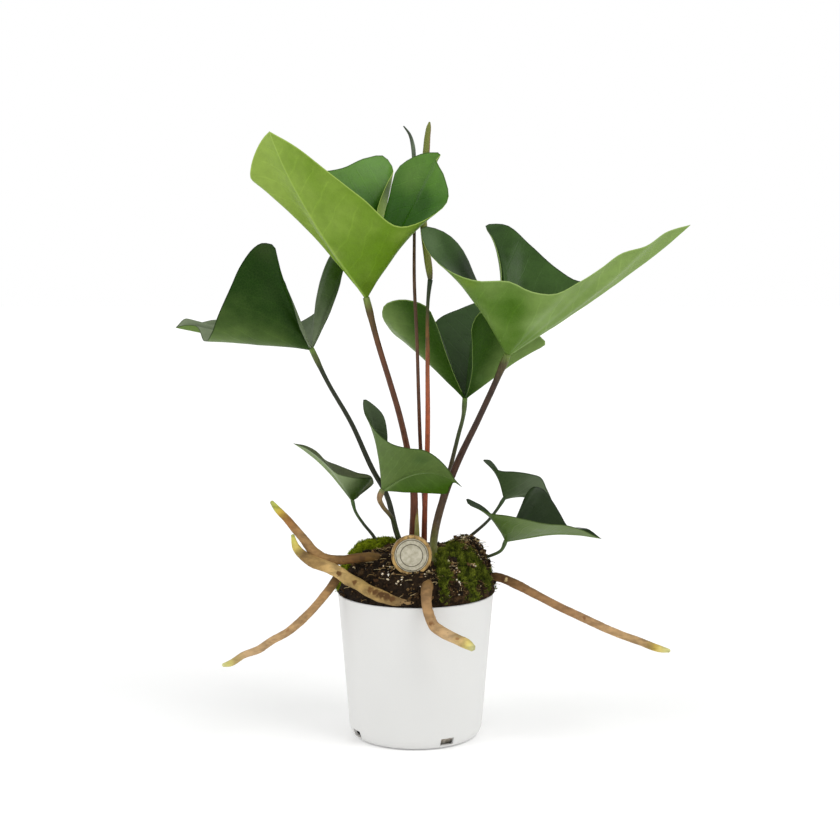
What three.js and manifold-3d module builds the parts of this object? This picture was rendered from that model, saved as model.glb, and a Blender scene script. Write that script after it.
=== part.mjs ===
// Potted arrow anthurium: a plain white nursery pot of rooted soil, with eight three-lobed
// leaves on long stalks, one flower stalk, one rolled young leaf, thick creeping roots, two
// cushions of moss and a round plant tag. Millimetres, +Z up, origin at the pot's bottom centre.
import * as THREE from 'three';
import { mergeVertices } from 'three/addons/utils/BufferGeometryUtils.js';
import Module from 'manifold-3d';

const wasm = await Module();
wasm.setup();

// Driving dimensions. GAP keeps set-in pieces apart, SEAT is the room around the body of soil.
const GAP = 0.3;
const SEAT = 0.4;

const POT_HEIGHT = 112;
const POT_TOP_RADIUS = 60;
const POT_FOOT_RADIUS = 45;
const POT_FOOT_CURVE = [[3.5, 1.6], [5.5, 4.6]];
const POT_FOOT_INSIDE = [[3.4, 4.6], [1, 2.4]];
const POT_CORNER_HEIGHT = 9;
const POT_CORNER_RADIUS = 51.5;
const POT_WALL = 1.8;
const POT_FLOOR = POT_FOOT_INSIDE[1][1];
const POT_SIDES = 48;
const SLOT_WIDTH = 11;
const SLOT_HEIGHT = 5.5;
const SLOT_DEPTH = 12;
const SLOT_LIFT = 3.2;
const SLOT_COUNT = 4;
const SLOT_FIRST_ANGLE = -62;

const MOUND_FOOT = 112.8;
const MOUND_RISE = 33;
const MOUND_FRONT_RADIUS = 57.5;
const MOUND_SIDE_RADIUS = 60.5;
const MOUND_SIDES = 36;
const MOUND_FRONT_SLOPE = 2.7;
const MOUND_BACK_SLOPE = 6;
const MOUND_FRONT_SPREAD = [20, 85];
const MOUND_SHARES = [1, 0.94, 0.86, 0.76, 0.62, 0.42, 0.15];
const LUMP = { height: 1.1, along: [0.31, 0.17], across: [-0.11, 0.29] };
const CLOD = { x: 45, y: 13, rise: 12, spread: 9 };
const RIM_ROOM = { radius: 78, depth: 20, sides: 24 };

const BLADE_THICKNESS = 0.8;
const BLADE_ROWS = 3;
const HUB_REACH = 1.25;
const HUB_TOP = 0.5;
const BLADE_SKEW = 0.3;
const BLADE_LEAST_LEVEL = 0.2;
const TUBE_SIDES = 8;
const HOLE_CLEARANCE = 0.35;

const TAG_RADIUS = 15.2;
const TAG_FACE_RADIUS = 12.6;
const TAG_DEPTH = 4;
const TAG_RECESS = 1.2;
const TAG_CENTRE = [-3, -46, 149.5];
const TAG_PIN_RADIUS = 1.2;
const TAG_PIN_LENGTH = 24;
const TAG_PIN_TIP_RADIUS = 0.4;
const TAG_PIN_FORWARD = 0.4;
const TAG_PIN_OVERLAP = 2;
const TAG_PIN_SIDES = 10;
const TAG_BACK_EDGE = 0.8;
const TAG_RIM_EDGE = 0.6;
const TAG_FACE_SUNK = 0.4;
const TAG_SIDES = 32;

// Each leaf: base is where its stalk joins, knuckle the radius of the swollen joint there. Facing
// is the direction in which its blade is seen with no part behind another. Tip and the margin
// points are measured from the base. A margin point is [x, y, z, bow]: bow is how far its ray
// sags away from the leaf's axis, as a share of its length. Right and left run from the notch
// over the stalk, round the back lobe, towards the tip.
const LEAVES = [
  {
    name: 'leaf_top', knuckle: 3, color: 0x6f9433,
    base: [-37, -10, 338],
    facing: [-0.15, 0.25, 0.96],
    tip: [-68, -42, 122, 0.04],
    right: [
      [1.5, 5, 12.5], [5, 19, 41, 0.01], [8, 32.5, 69, 0.01], [14.5, 49, 87, 0.02],
      [18.5, 67, 101, 0.01], [12.5, 68.5, 108.5, 0.01], [-2, 60, 107], [-19, 45.5, 99],
      [-51, 21, 93], [-74, 0, 84, -0.03], [-85, -12.5, 90, -0.03], [-84, -17.5, 98, -0.02],
      [-79, -25, 110], [-73, -34, 118, 0.03],
    ],
    left: [
      [3, 5, 15.5], [8.5, 11, 36.5], [14.5, 17.5, 63.5], [18, 21.5, 79], [23, 23.5, 97, -0.01],
      [38, 14, 107], [45.5, 7.5, 109], [56, -1, 107.5], [52.5, -4, 104.5],
      [57.5, -12.5, 93, -0.02], [60.5, -24.5, 72, -0.06], [50, -32, 62, -0.05],
      [25, -39.5, 54, -0.01], [-1, -46, 74, 0.02], [-28, -50, 95, 0.03], [-46, -50, 109, 0.03],
    ],
  },
  {
    name: 'leaf_left', knuckle: 2.6, color: 0x23450f,
    base: [-79, 0, 299],
    facing: [-0.12, 0.05, 0.99],
    tip: [-110, 46.5, 14, 0.01],
    right: [
      [3, 0.5, 5], [8, 4.5, 16], [16, 12, 34], [22, 25.5, 55], [24, 31.5, 75, -0.03],
      [14, 33.5, 73, -0.05], [10.5, 32, 62, -0.04], [8.5, 34, 44, -0.05], [3.5, 36.5, 29, -0.01],
      [-7, 37.5, 21], [-47, 40.5, 14], [-80, 43.5, 20], [-93, 45, 18], [-102, 46, 21],
    ],
    left: [
      [-2, -10, 3], [-7.5, -18, 16.5], [-14, -21, 39], [-19, -27.5, 54.5],
      [-21, -32.5, 61.5, -0.05], [-22.5, -36.5, 70.5, -0.07], [-25, -42.5, 79.5, -0.08],
      [-31.5, -38.5, 81, -0.05], [-41, -28.5, 77], [-51, -25, 64, 0.03], [-59, -20, 48, 0.03],
      [-70, -10.5, 26, 0.02], [-76, 0.5, 13], [-85, 21.5, 5, -0.01], [-93, 35.5, 16, 0.01],
      [-102, 40.5, 16, 0.01],
    ],
  },
  {
    name: 'leaf_right', knuckle: 3, color: 0x56802c,
    base: [69, -10, 295],
    facing: [0.1, 0.11, 0.99],
    tip: [136, -5, 98, 0.02],
    right: [
      [-5, 2.5, 13], [-17, 1, 42], [-24, -1, 55], [-28, -6, 68], [-38, -13, 85],
      [-50, -22, 94, -0.02], [-65, -33.5, 96, -0.04], [-61, -39, 81, -0.05],
      [-48, -42.5, 67, -0.04], [-25, -46, 58], [0, -47, 57], [15, -45, 50], [32, -43, 48],
      [51, -40, 57], [67, -37, 67, 0.02], [81, -32, 77, 0.03], [101, -26, 83, 0.03],
      [117, -16, 93, 0.03],
    ],
    left: [
      [-1.5, 5.5, 15.5], [-2.5, 17.5, 41.5], [-4.5, 38, 72], [-8.5, 56, 87, -0.05],
      [-12.5, 74, 98.5, -0.1], [-6.5, 71, 99, -0.07], [2, 65, 98, -0.04], [20, 53.5, 83],
      [40, 39.5, 65], [57, 27.5, 55], [83, 16, 63], [111, 4, 79, 0.02],
    ],
  },
  {
    name: 'leaf_back', knuckle: 2.6, color: 0x2a5220,
    base: [38, 18, 259],
    facing: [-0.19, 0.01, 0.98],
    tip: [30, 100, 76],
    right: [
      [2, -8, 6], [5, -18, 23], [5, -23, 44], [5, -26, 60], [10, -22, 68], [21, -10, 66],
      [36, -5, 60], [52, -5, 53], [62, -4, 44, -0.02], [55, 4, 38, -0.03], [44, 30, 34, -0.02],
      [41, 66, 54], [39, 86, 67],
    ],
    left: [
      [-3, -5, 7], [-9, -12, 21], [-16, -16, 40], [-23, -18, 61], [-29, -18, 72], [-41, -15, 77],
      [-54, -9, 77], [-62, -3, 73], [-64, 3, 66], [-60, 14, 56, -0.01], [-51, 27, 46, -0.02],
      [-33, 42, 40], [-21, 60, 58], [0, 80, 67], [15, 92, 72],
    ],
  },
  {
    name: 'leaf_small_centre', knuckle: 2.2, color: 0x4b6e3c,
    base: [-25, -35, 196],
    facing: [0.68, -0.11, 0.72],
    tip: [59, -16, 5, -0.19],
    right: [
      [1, -1, 10], [3, -3, 27], [4, -6, 45], [1, -9, 58], [-5, -12, 65], [-13, -15, 70, -0.04],
      [-13, -18, 63, -0.05], [-8, -22, 53, -0.05], [1, -26, 43, -0.06], [7, -28, 39, -0.06],
      [19, -30, 36, -0.04], [31, -29, 34, -0.03], [41, -26, 28, -0.05], [50, -22, 18, -0.12],
      [54, -18, 11, -0.17],
    ],
    left: [
      [1, 4, 4], [3, 14, 13], [7, 21, 21], [13, 25, 22], [19, 23, 15], [18, 17, 7], [13, 11, 0],
      [16, 9, -2], [32, 7, -1], [43, 3, -2], [48, -1, -2], [51, -9, 5, -0.1],
      [54, -14, 8, -0.16],
    ],
  },
  {
    name: 'leaf_small_left', knuckle: 1.9, color: 0x4f7a38,
    base: [-49, 10, 181],
    facing: [-0.27, -0.33, 0.9],
    tip: [-44, -18, 47, -0.05],
    right: [
      [4, 2, 2], [8, 7, 6], [13, 13, 9], [16, 17, 11], [15, 18, 15], [3, 14, 20], [-11, 4, 27],
      [-21, -6, 33], [-28, -12, 41, -0.02], [-35, -15, 45, -0.03],
    ],
    left: [
      [3, 0, 2], [6, -2, 6], [11, -5, 13], [15, -9, 19], [9, -15, 20], [-1, -21, 22],
      [-11, -24, 25], [-19, -25, 32, -0.02], [-27, -23, 39, -0.03], [-35, -20, 44, -0.04],
    ],
  },
  {
    name: 'leaf_small_right', knuckle: 1.9, color: 0x3c5c39,
    base: [69, 25, 180],
    facing: [0.77, 0.25, 0.59],
    tip: [41, 9, -9, -0.2],
    right: [
      [-1, 2.5, 8], [-4, 2, 18, -0.03], [-9, 0, 25, -0.05], [-12, -8, 32, -0.11],
      [-17, -11, 32, -0.12], [-15, -11.5, 30, -0.1], [-10, -12, 27, -0.06], [-4, -11, 24, -0.03],
      [8, -11, 23], [20, -9, 21], [28, -4, 18], [34, 3, 7, -0.05],
    ],
    left: [
      [2, 3.5, 3], [4.5, 20, 9.5], [9, 31, 12.5], [17, 31, 11], [18, 19.5, 4], [12, 11, 1],
      [20, 12, -1, -0.05], [34, 12, -8, -0.14],
    ],
  },
  {
    name: 'leaf_low_right', knuckle: 1.9, color: 0x5a7f42,
    base: [69, -5, 152],
    facing: [-0.15, -0.49, 0.86],
    tip: [71, -23, 6, -0.06],
    right: [
      [-2, 0, 5.5], [-7, -4, 16], [-14, -11, 25.5, -0.03], [-23, -19.5, 33, -0.06],
      [-31, -24.5, 36.5, -0.09], [-30, -26.5, 34, -0.09], [-22, -29, 30, -0.06],
      [-13, -32.5, 27, -0.03], [-1, -36, 26], [14, -38, 23], [30, -37, 20], [45, -33, 18],
      [58, -28, 13, -0.03], [65, -25, 9, -0.05],
    ],
    left: [
      [1, 6.5, 4], [8, 11, 11], [13, 14.5, 23], [17, 18.5, 34, -0.03], [23, 21, 39, -0.03],
      [30, 21.5, 37], [36, 18, 30], [43, 11, 19], [48, 4, 11], [56, -8, 12],
      [62, -16, 12, -0.04],
    ],
  },
];

// Leaf stalks by leaf name: centre line [x, y, z, radius] from inside the soil to the blade
const STALKS = {
  leaf_top: [
    [-2.5, 2, 124, 3], [-2.5, 2, 146, 3], [-1.5, 0, 190, 2.9], [-7, -3, 226, 2.4],
    [-13, -5, 252, 2.3], [-20, -6, 276, 2.2], [-29, -8, 306, 2.2], [-37, -10, 338, 2.4],
  ],
  leaf_left: [
    [-11, -3, 124, 2.2], [-11, -3, 146, 2.2], [-15, -5, 160, 2.2], [-23, -7, 190, 2],
    [-32, -6, 206, 2], [-49, -4, 243, 1.8], [-68, -1, 276, 1.7], [-79, 0, 299, 2],
  ],
  leaf_right: [
    [14.5, -40, 133, 2.7], [14.5, -39, 139, 2.8], [13.5, -31, 148, 2.9], [14, -17, 157, 3],
    [16.5, -6, 168, 3], [22, -4, 187, 2.9], [32, -5, 213, 2.7], [48, -7, 247, 2.4],
    [61, -9, 276, 2.4], [69, -10, 295, 2.6],
  ],
  leaf_back: [
    [14, 9, 124, 1.7], [14, 9, 144, 1.7], [18, 12, 173, 1.7], [27, 15, 207, 1.7],
    [33, 17, 231, 1.6], [37, 18, 247, 1.6], [38, 18, 259, 1.9],
  ],
  leaf_small_centre: [
    [-10, -12, 122, 1.5], [-10, -12, 144, 1.5], [-13, -16, 158, 1.4], [-18, -22, 173, 1.5],
    [-25, -31, 184, 1.7], [-27, -35, 190, 2], [-25, -35, 196, 2],
  ],
  leaf_small_left: [
    [-25, 10, 120, 1.2], [-25, 10, 138, 1.2], [-33, 12, 153, 1.3], [-41, 12, 163, 1.2],
    [-47, 11, 173, 1.2], [-49, 10, 181, 1.4],
  ],
  leaf_small_right: [
    [28, 22, 116, 1.2], [28, 22, 136, 1.2], [39, 24, 147, 1.3], [58, 26, 164, 1.2],
    [62, 26, 169, 1.2], [69, 25, 180, 1.4],
  ],
  leaf_low_right: [
    [26, 6, 112, 1.2], [28, 6, 128, 1.2], [45, 3, 136, 1.2], [58, -1, 140, 1.2],
    [66, -4, 145, 1.3], [69, -5, 152, 1.5],
  ],
};

// Stems, spadix and sheath: centre line [x, y, z, radius]
const YOUNG_LEAF = [
  [7, 13, 122, 1.5], [7, 13, 148, 1.5], [6, 11, 187, 1.5], [3.6, 4, 225, 1.5],
  [2.3, -4, 262, 1.4], [1, -9, 306, 1.3], [-1, -5, 352, 1.3], [-1, 1, 386, 1.2],
  [-1, 6, 419, 1.2], [-1, 8, 442, 1.3], [-2, 8, 453, 1.3], [-4.5, 7, 461, 1], [-9, 6, 467, 0.5],
];
const FLOWER_STALK = [
  [6.5, 7, 124, 2.3], [6.5, 7, 146, 2.3], [7.5, 3, 190, 2], [8.8, -2, 219, 2],
  [9.2, -5, 246, 1.9], [9, -8, 294, 1.6], [10, -7, 344, 1.6], [11, -7, 352, 2],
];
const SPADIX = [
  [11, -7, 352.5, 1.8], [10.5, -7, 357, 2.4], [8, -5, 375, 2.7], [6, -2, 393, 2.7],
  [5.5, 1, 412, 2.7], [6, 3, 431, 2.7], [8, 5, 448, 2.6], [9, 6, 460, 2.2], [10, 6, 467, 1.6],
  [10.5, 6, 470, 0.7],
];
const SHEATH = [
  [1, -7, 130, 2], [1, -7, 146, 2.2], [1, -7, 160, 1.9], [1, -7, 171, 1.2], [1.5, -7, 178, 0.4],
];

// Roots: centre line [x, y, z, radius] from inside the soil to the growing tip
const ROOT_LEFT_LOW = [
  [-44, -18, 124, 3.3], [-57, -25, 129, 3.4], [-65, -31, 120, 3.2], [-76, -34, 107, 3.1],
  [-86, -35, 97, 3.2], [-97, -36, 88, 3], [-108, -37, 82, 2.9], [-119, -38, 75, 2.9],
  [-130, -39, 71, 2.6], [-140, -40, 65, 2.3], [-145, -41, 64, 1.4],
];
const ROOT_FORK_UPPER = [
  [-15, -21, 134, 3.6], [-24, -24, 141, 3.5], [-33, -28, 144, 3.5], [-43, -31, 144, 3.6],
  [-57, -34, 143, 3.6], [-69, -37, 145, 3.8], [-76, -38, 150, 3.8], [-84, -37, 160, 3.4],
  [-91, -36, 168, 3.1], [-96, -35, 174, 2.9], [-104, -33, 182, 2.4], [-108, -32, 187, 1.4],
];
const ROOT_FORK_LOWER = [
  [-92, -38, 163, 1.2], [-89, -39, 153, 3], [-83, -40, 147, 3.8], [-76, -41, 143, 4.6],
  [-66, -39, 139, 4.6], [-57, -38, 134, 4.7], [-51, -40, 130, 4.6], [-43, -43, 126.5, 4.5],
  [-34, -50, 122.5, 4.6], [-25, -54, 119.5, 4.6], [-15, -56.5, 116.5, 3.6],
  [-6, -57.5, 115.5, 2.5], [3, -57, 115, 1.9], [9, -55.5, 114.6, 1.2],
];
const ROOT_FRONT = [
  [7, -33, 121, 4.4], [9, -48, 127, 4.8], [8, -60, 124, 4.2], [8, -66, 117, 3.8],
  [10, -69, 109, 3.8], [14, -72, 101, 4.1], [19, -75, 98, 4.1], [29, -80, 94, 3.8],
  [38, -84, 90.5, 3.6], [42, -86, 88, 2.4],
];
const ROOT_RIGHT = [
  [46, 0, 120, 3.4], [63, -8, 124.5, 3.4], [75, -14, 121, 3.6], [90, -18, 114, 3.2],
  [110, -21, 104, 3.1], [130, -24, 95, 3.1], [151, -27, 86, 3], [171, -30, 79, 2.9],
  [186, -32, 74, 2.5], [192, -33, 73, 1.4],
];

// Moss cushions: a patch of the mound between two angles, from near the crown out over the edge
const MOSS_PATCHES = [
  { name: 'moss_back', color: 0x7f8f1f, from: 66, to: 190, inner: 0.42, outer: 1, depth: 5.5 },
  { name: 'moss_right', color: 0x4d6a22, from: -72, to: 24, inner: 0.4, outer: 1, depth: 3 },
];
const MOSS_EDGE_DEPTH = 1.6;
const MOSS_LUMP = { share: 0.18, x: 0.5, y: 0.43 };
const MOSS_END = 0.6;
const MOSS_ROOTING = 2;
const MOSS_STEPS = { around: 16, out: 5 };

const degrees = THREE.MathUtils.degToRad;

// Solids and geometry
function solidOf(geometry) {
  const bare = geometry.clone();
  bare.deleteAttribute('normal');
  bare.deleteAttribute('uv');
  const merged = mergeVertices(bare, 1e-4);
  return new wasm.Manifold(new wasm.Mesh({
    numProp: 3,
    vertProperties: new Float32Array(merged.attributes.position.array),
    triVerts: new Uint32Array(merged.index.array),
  }));
}

function geometryOf(solid) {
  const mesh = solid.getMesh();
  const geometry = new THREE.BufferGeometry();
  geometry.setAttribute('position', new THREE.BufferAttribute(mesh.vertProperties, 3));
  geometry.setIndex(new THREE.BufferAttribute(mesh.triVerts, 1));
  geometry.computeVertexNormals();
  return geometry;
}

function geometryFrom(points, faces) {
  const geometry = new THREE.BufferGeometry();
  geometry.setFromPoints(points);
  geometry.setIndex(faces);
  return geometry;
}

// Closed solid through rings of points, with each end closed on the middle of its ring
function loft(rings) {
  const count = rings[0].length;
  const points = rings.flat();
  const faces = [];
  for (let ring = 0; ring < rings.length - 1; ring += 1) {
    for (let side = 0; side < count; side += 1) {
      const next = (side + 1) % count;
      const a = ring * count + side;
      const b = ring * count + next;
      faces.push(a, b, b + count, a, b + count, a + count);
    }
  }
  const last = (rings.length - 1) * count;
  points.push(middleOf(rings[0]), middleOf(rings[rings.length - 1]));
  for (let side = 0; side < count; side += 1) {
    const next = (side + 1) % count;
    faces.push(points.length - 2, next, side);
    faces.push(points.length - 1, last + side, last + next);
  }
  return geometryFrom(points, faces);
}

function middleOf(ring) {
  const sum = new THREE.Vector3();
  ring.forEach((point) => sum.add(point));
  return sum.divideScalar(ring.length);
}

// Closed solid between two grids of points of the same size, the first under the second. With a
// hub, which is one point under and one over, the grids' inner edges are closed on those two points
// instead of by a wall.
function slab(low, high, hub = []) {
  const columns = low.length;
  const rows = low[0].length;
  const points = [...low.flat(), ...high.flat(), ...hub];
  const at = (layer, column, row) => (layer * columns + column) * rows + row;
  const [under, over] = [points.length - 2, points.length - 1];
  const faces = [];
  const quad = (a, b, c, d) => faces.push(a, b, c, a, c, d);
  for (let i = 0; i < columns - 1; i += 1) {
    for (let j = 0; j < rows - 1; j += 1) {
      quad(at(1, i, j), at(1, i, j + 1), at(1, i + 1, j + 1), at(1, i + 1, j));
      faces.push(at(0, i, j), at(0, i + 1, j + 1), at(0, i, j + 1));
      faces.push(at(0, i, j), at(0, i + 1, j), at(0, i + 1, j + 1));
    }
    quad(at(0, i + 1, rows - 1), at(1, i + 1, rows - 1), at(1, i, rows - 1), at(0, i, rows - 1));
    if (hub.length) {
      faces.push(over, at(1, i, 0), at(1, i + 1, 0));
      faces.push(under, at(0, i + 1, 0), at(0, i, 0));
    } else {
      quad(at(0, i, 0), at(1, i, 0), at(1, i + 1, 0), at(0, i + 1, 0));
    }
  }
  const end = columns - 1;
  for (let j = 0; j < rows - 1; j += 1) {
    quad(at(0, 0, j + 1), at(1, 0, j + 1), at(1, 0, j), at(0, 0, j));
    quad(at(0, end, j), at(1, end, j), at(1, end, j + 1), at(0, end, j + 1));
  }
  if (hub.length) {
    quad(at(0, 0, 0), at(1, 0, 0), over, under);
    quad(under, over, at(1, end, 0), at(0, end, 0));
  }
  return geometryFrom(points, faces);
}

// Round bar along a smooth line through [x, y, z, radius] points
function bar(line, extra = 0, sides = TUBE_SIDES) {
  const curve = new THREE.CatmullRomCurve3(
    line.map(([x, y, z]) => new THREE.Vector3(x, y, z)), false, 'catmullrom', 0.5,
  );
  const spans = line.length - 1;
  const rings = [];
  let across = new THREE.Vector3(1, 0, 0);
  for (let index = 0; index <= spans; index += 1) {
    const ahead = tangentAt(curve, index / spans);
    const side = new THREE.Vector3().crossVectors(ahead, across).normalize();
    across = new THREE.Vector3().crossVectors(side, ahead).normalize();
    const radius = line[index][3] + extra;
    rings.push(circle(curve.getPoint(index / spans), across, side, radius, sides));
  }
  return loft(rings);
}

function tangentAt(curve, share) {
  const step = 1e-3;
  const before = curve.getPoint(Math.max(share - step, 0));
  const after = curve.getPoint(Math.min(share + step, 1));
  return after.sub(before).normalize();
}

function circle(centre, across, side, radius, sides) {
  return Array.from({ length: sides }, (_, index) => {
    const angle = (index / sides) * Math.PI * 2;
    return centre.clone()
      .addScaledVector(across, Math.cos(angle) * radius)
      .addScaledVector(side, Math.sin(angle) * radius);
  });
}

// The same line with its buried end pushed on by the clearance, for the hole it stands in
function holeFor(line) {
  const [first, second] = line;
  const start = new THREE.Vector3(...first.slice(0, 3));
  const back = start.clone().sub(new THREE.Vector3(...second.slice(0, 3))).normalize();
  start.addScaledVector(back, HOLE_CLEARANCE);
  const longer = [[...start.toArray(), first[3]], ...line.slice(1)];
  return solidOf(bar(longer, HOLE_CLEARANCE));
}

// The line cut short at its far end, so that it stops below the knuckle of its leaf
function stopShort(line, distance) {
  const end = line[line.length - 1];
  const before = line[line.length - 2];
  const tip = new THREE.Vector3(...end.slice(0, 3));
  const back = new THREE.Vector3(...before.slice(0, 3)).sub(tip).normalize();
  tip.addScaledVector(back, distance);
  return [...line.slice(0, -1), [...tip.toArray(), end[3]]];
}

// Leaf blades
function marginRays({ right, left, tip }) {
  return [...right, tip, ...left.toReversed()].map(([x, y, z, bow = 0]) => (
    { ray: new THREE.Vector3(x, y, z), bow }
  ));
}

function leafAxis({ right, left, tip }) {
  const axis = new THREE.Vector3();
  [...right, ...left, tip].forEach(([x, y, z]) => axis.add(new THREE.Vector3(x, y, z)));
  return axis.normalize();
}

// Point at a share of the way out along a ray, with the ray bowed away from the leaf's axis
function pointOnRay({ ray, bow }, axis, share) {
  const length = ray.length();
  const along = ray.clone().divideScalar(length);
  const outward = along.clone().multiplyScalar(along.dot(axis)).sub(axis).normalize();
  const sag = bow * length * 4 * share * (1 - share) * (1 + BLADE_SKEW * (2 * share - 1));
  return ray.clone().multiplyScalar(share).addScaledVector(outward, sag);
}

function gridNormal(grid, i, j) {
  const alongMargin = grid[Math.min(i + 1, grid.length - 1)][j].clone();
  alongMargin.sub(grid[Math.max(i - 1, 0)][j]);
  const outward = grid[i][Math.min(j + 1, grid[i].length - 1)].clone();
  outward.sub(grid[i][Math.max(j - 1, 0)]);
  return outward.cross(alongMargin).normalize();
}

function shiftGrid(grid, distanceAt) {
  return grid.map((column, i) => column.map((point, j) => (
    point.clone().addScaledVector(gridNormal(grid, i, j), distanceAt(point, i, j))
  )));
}

// Grid moved along one direction, further where it is steep, so that no fold crosses itself
function liftGrid(grid, direction, distance) {
  return grid.map((column, i) => column.map((point, j) => {
    const level = Math.max(gridNormal(grid, i, j).dot(direction), BLADE_LEAST_LEVEL);
    return point.clone().addScaledVector(direction, distance / level);
  }));
}

function blade(leaf) {
  const axis = leafAxis(leaf);
  const middle = marginRays(leaf).map((margin) => {
    const start = (HUB_REACH * leaf.knuckle) / margin.ray.length();
    return Array.from({ length: BLADE_ROWS + 1 }, (_, row) => (
      pointOnRay(margin, axis, start + (1 - start) * (row / BLADE_ROWS))
    ));
  });
  const facing = new THREE.Vector3(...leaf.facing).normalize();
  const low = liftGrid(middle, facing, -BLADE_THICKNESS / 2);
  const high = liftGrid(middle, facing, BLADE_THICKNESS / 2);
  const hub = [-leaf.knuckle, HUB_TOP * leaf.knuckle].map((rise) => facing.clone().multiplyScalar(rise));
  return geometryOf(solidOf(slab(low, high, hub)));
}

// Pot
function potOutline() {
  const slope = (POT_TOP_RADIUS - POT_CORNER_RADIUS) / (POT_HEIGHT - POT_CORNER_HEIGHT);
  const inner = (height) => POT_CORNER_RADIUS + slope * (height - POT_CORNER_HEIGHT) - POT_WALL;
  return [
    [0, 0], [POT_FOOT_RADIUS, 0],
    ...POT_FOOT_CURVE.map(([out, up]) => [POT_FOOT_RADIUS + out, up]),
    [POT_CORNER_RADIUS, POT_CORNER_HEIGHT], [POT_TOP_RADIUS, POT_HEIGHT],
    [POT_TOP_RADIUS - POT_WALL, POT_HEIGHT], [inner(POT_CORNER_HEIGHT), POT_CORNER_HEIGHT],
    ...POT_FOOT_INSIDE.map(([out, up]) => [POT_FOOT_RADIUS + out, up]),
    [0, POT_FLOOR],
  ].map(([radius, height]) => new THREE.Vector2(radius, height));
}

function standing(geometry) {
  return geometry.rotateX(Math.PI / 2);
}

function pot() {
  let body = solidOf(standing(new THREE.LatheGeometry(potOutline(), POT_SIDES)));
  for (let index = 0; index < SLOT_COUNT; index += 1) {
    const slot = new THREE.BoxGeometry(SLOT_DEPTH, SLOT_WIDTH, SLOT_HEIGHT);
    slot.translate(POT_FOOT_RADIUS + SLOT_DEPTH / 2, 0, SLOT_LIFT + SLOT_HEIGHT / 2);
    slot.rotateZ(degrees(SLOT_FIRST_ANGLE + 90 * index));
    body = body.subtract(solidOf(slot));
  }
  return geometryOf(body);
}

// Soil: inside the pot it follows the wall, above the rim it is a mound that is steep at the back
function frontness(angle) {
  const fromFront = Math.abs(THREE.MathUtils.euclideanModulo(angle + 270, 360) - 180);
  return 1 - THREE.MathUtils.smoothstep(180 - fromFront, ...MOUND_FRONT_SPREAD);
}

function moundPoint(angle, share, lift = 0) {
  const front = frontness(angle);
  const reach = THREE.MathUtils.lerp(MOUND_SIDE_RADIUS, MOUND_FRONT_RADIUS, front) + lift;
  const slope = THREE.MathUtils.lerp(MOUND_BACK_SLOPE, MOUND_FRONT_SLOPE, front);
  const x = reach * share * Math.cos(degrees(angle));
  const y = reach * share * Math.sin(degrees(angle));
  const fall = 1 - share ** slope;
  const clodShare = Math.exp(-((x - CLOD.x) ** 2 + (y - CLOD.y) ** 2) / (2 * CLOD.spread ** 2));
  const wave = ([alongX, alongY]) => x * alongX + y * alongY;
  const lumps = LUMP.height * Math.sin(wave(LUMP.along)) * Math.cos(wave(LUMP.across));
  const height = MOUND_FOOT + fall * (MOUND_RISE + lumps) + CLOD.rise * clodShare * Math.sqrt(fall);
  return new THREE.Vector3(x, y, height + lift);
}

function levelRing(radius, height) {
  return Array.from({ length: MOUND_SIDES }, (_, index) => {
    const angle = (index / MOUND_SIDES) * Math.PI * 2;
    return new THREE.Vector3(radius * Math.cos(angle), radius * Math.sin(angle), height);
  });
}

// The whole body of soil, or with a lift the room that anything lying on it has to keep clear of
function soilBody(lift = 0) {
  const wallGap = POT_WALL + SEAT;
  const rings = [
    levelRing(POT_FOOT_RADIUS, POT_FLOOR + GAP),
    levelRing(POT_CORNER_RADIUS - wallGap - 1, POT_CORNER_HEIGHT),
    levelRing(POT_TOP_RADIUS - wallGap, POT_HEIGHT - 1),
    levelRing(POT_TOP_RADIUS - wallGap, POT_HEIGHT + SEAT),
  ];
  for (const share of MOUND_SHARES) {
    rings.push(Array.from({ length: MOUND_SIDES }, (_, index) => (
      moundPoint((index / MOUND_SIDES) * 360, share, lift)
    )));
  }
  return solidOf(loft(rings));
}

function cutFrom(body, cuts) {
  return cuts.reduce((rest, cut) => rest.subtract(cut), body);
}

// The room over the pot's rim that hanging moss stays above
function rimRoom() {
  const { radius, depth, sides } = RIM_ROOM;
  const room = new THREE.CylinderGeometry(radius, radius, depth, sides);
  room.translate(0, MOUND_FOOT + SEAT - depth / 2, 0);
  return solidOf(standing(room));
}

// Moss: a cushion that follows the mound, thick in its middle and thin along its edge
function moss(patch, cuts) {
  const columns = Array.from({ length: MOSS_STEPS.around + 1 }, (_, i) => {
    const angle = THREE.MathUtils.lerp(patch.from, patch.to, i / MOSS_STEPS.around);
    return Array.from({ length: MOSS_STEPS.out + 1 }, (_unused, j) => (
      moundPoint(angle, THREE.MathUtils.lerp(patch.inner, patch.outer, j / MOSS_STEPS.out))
    ));
  });
  const low = shiftGrid(columns, () => -MOSS_ROOTING);
  const high = shiftGrid(columns, (point, i, j) => {
    const around = Math.sin((Math.PI * i) / MOSS_STEPS.around) ** 0.5;
    const out = Math.sin((Math.PI * (j + MOSS_END)) / (MOSS_STEPS.out + 2 * MOSS_END)) ** 0.5;
    const lump = Math.sin(point.x * MOSS_LUMP.x) * Math.cos(point.y * MOSS_LUMP.y);
    return MOSS_EDGE_DEPTH + patch.depth * around * out * (1 + MOSS_LUMP.share * lump);
  });
  return geometryOf(cutFrom(solidOf(slab(low, high)), cuts));
}

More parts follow.
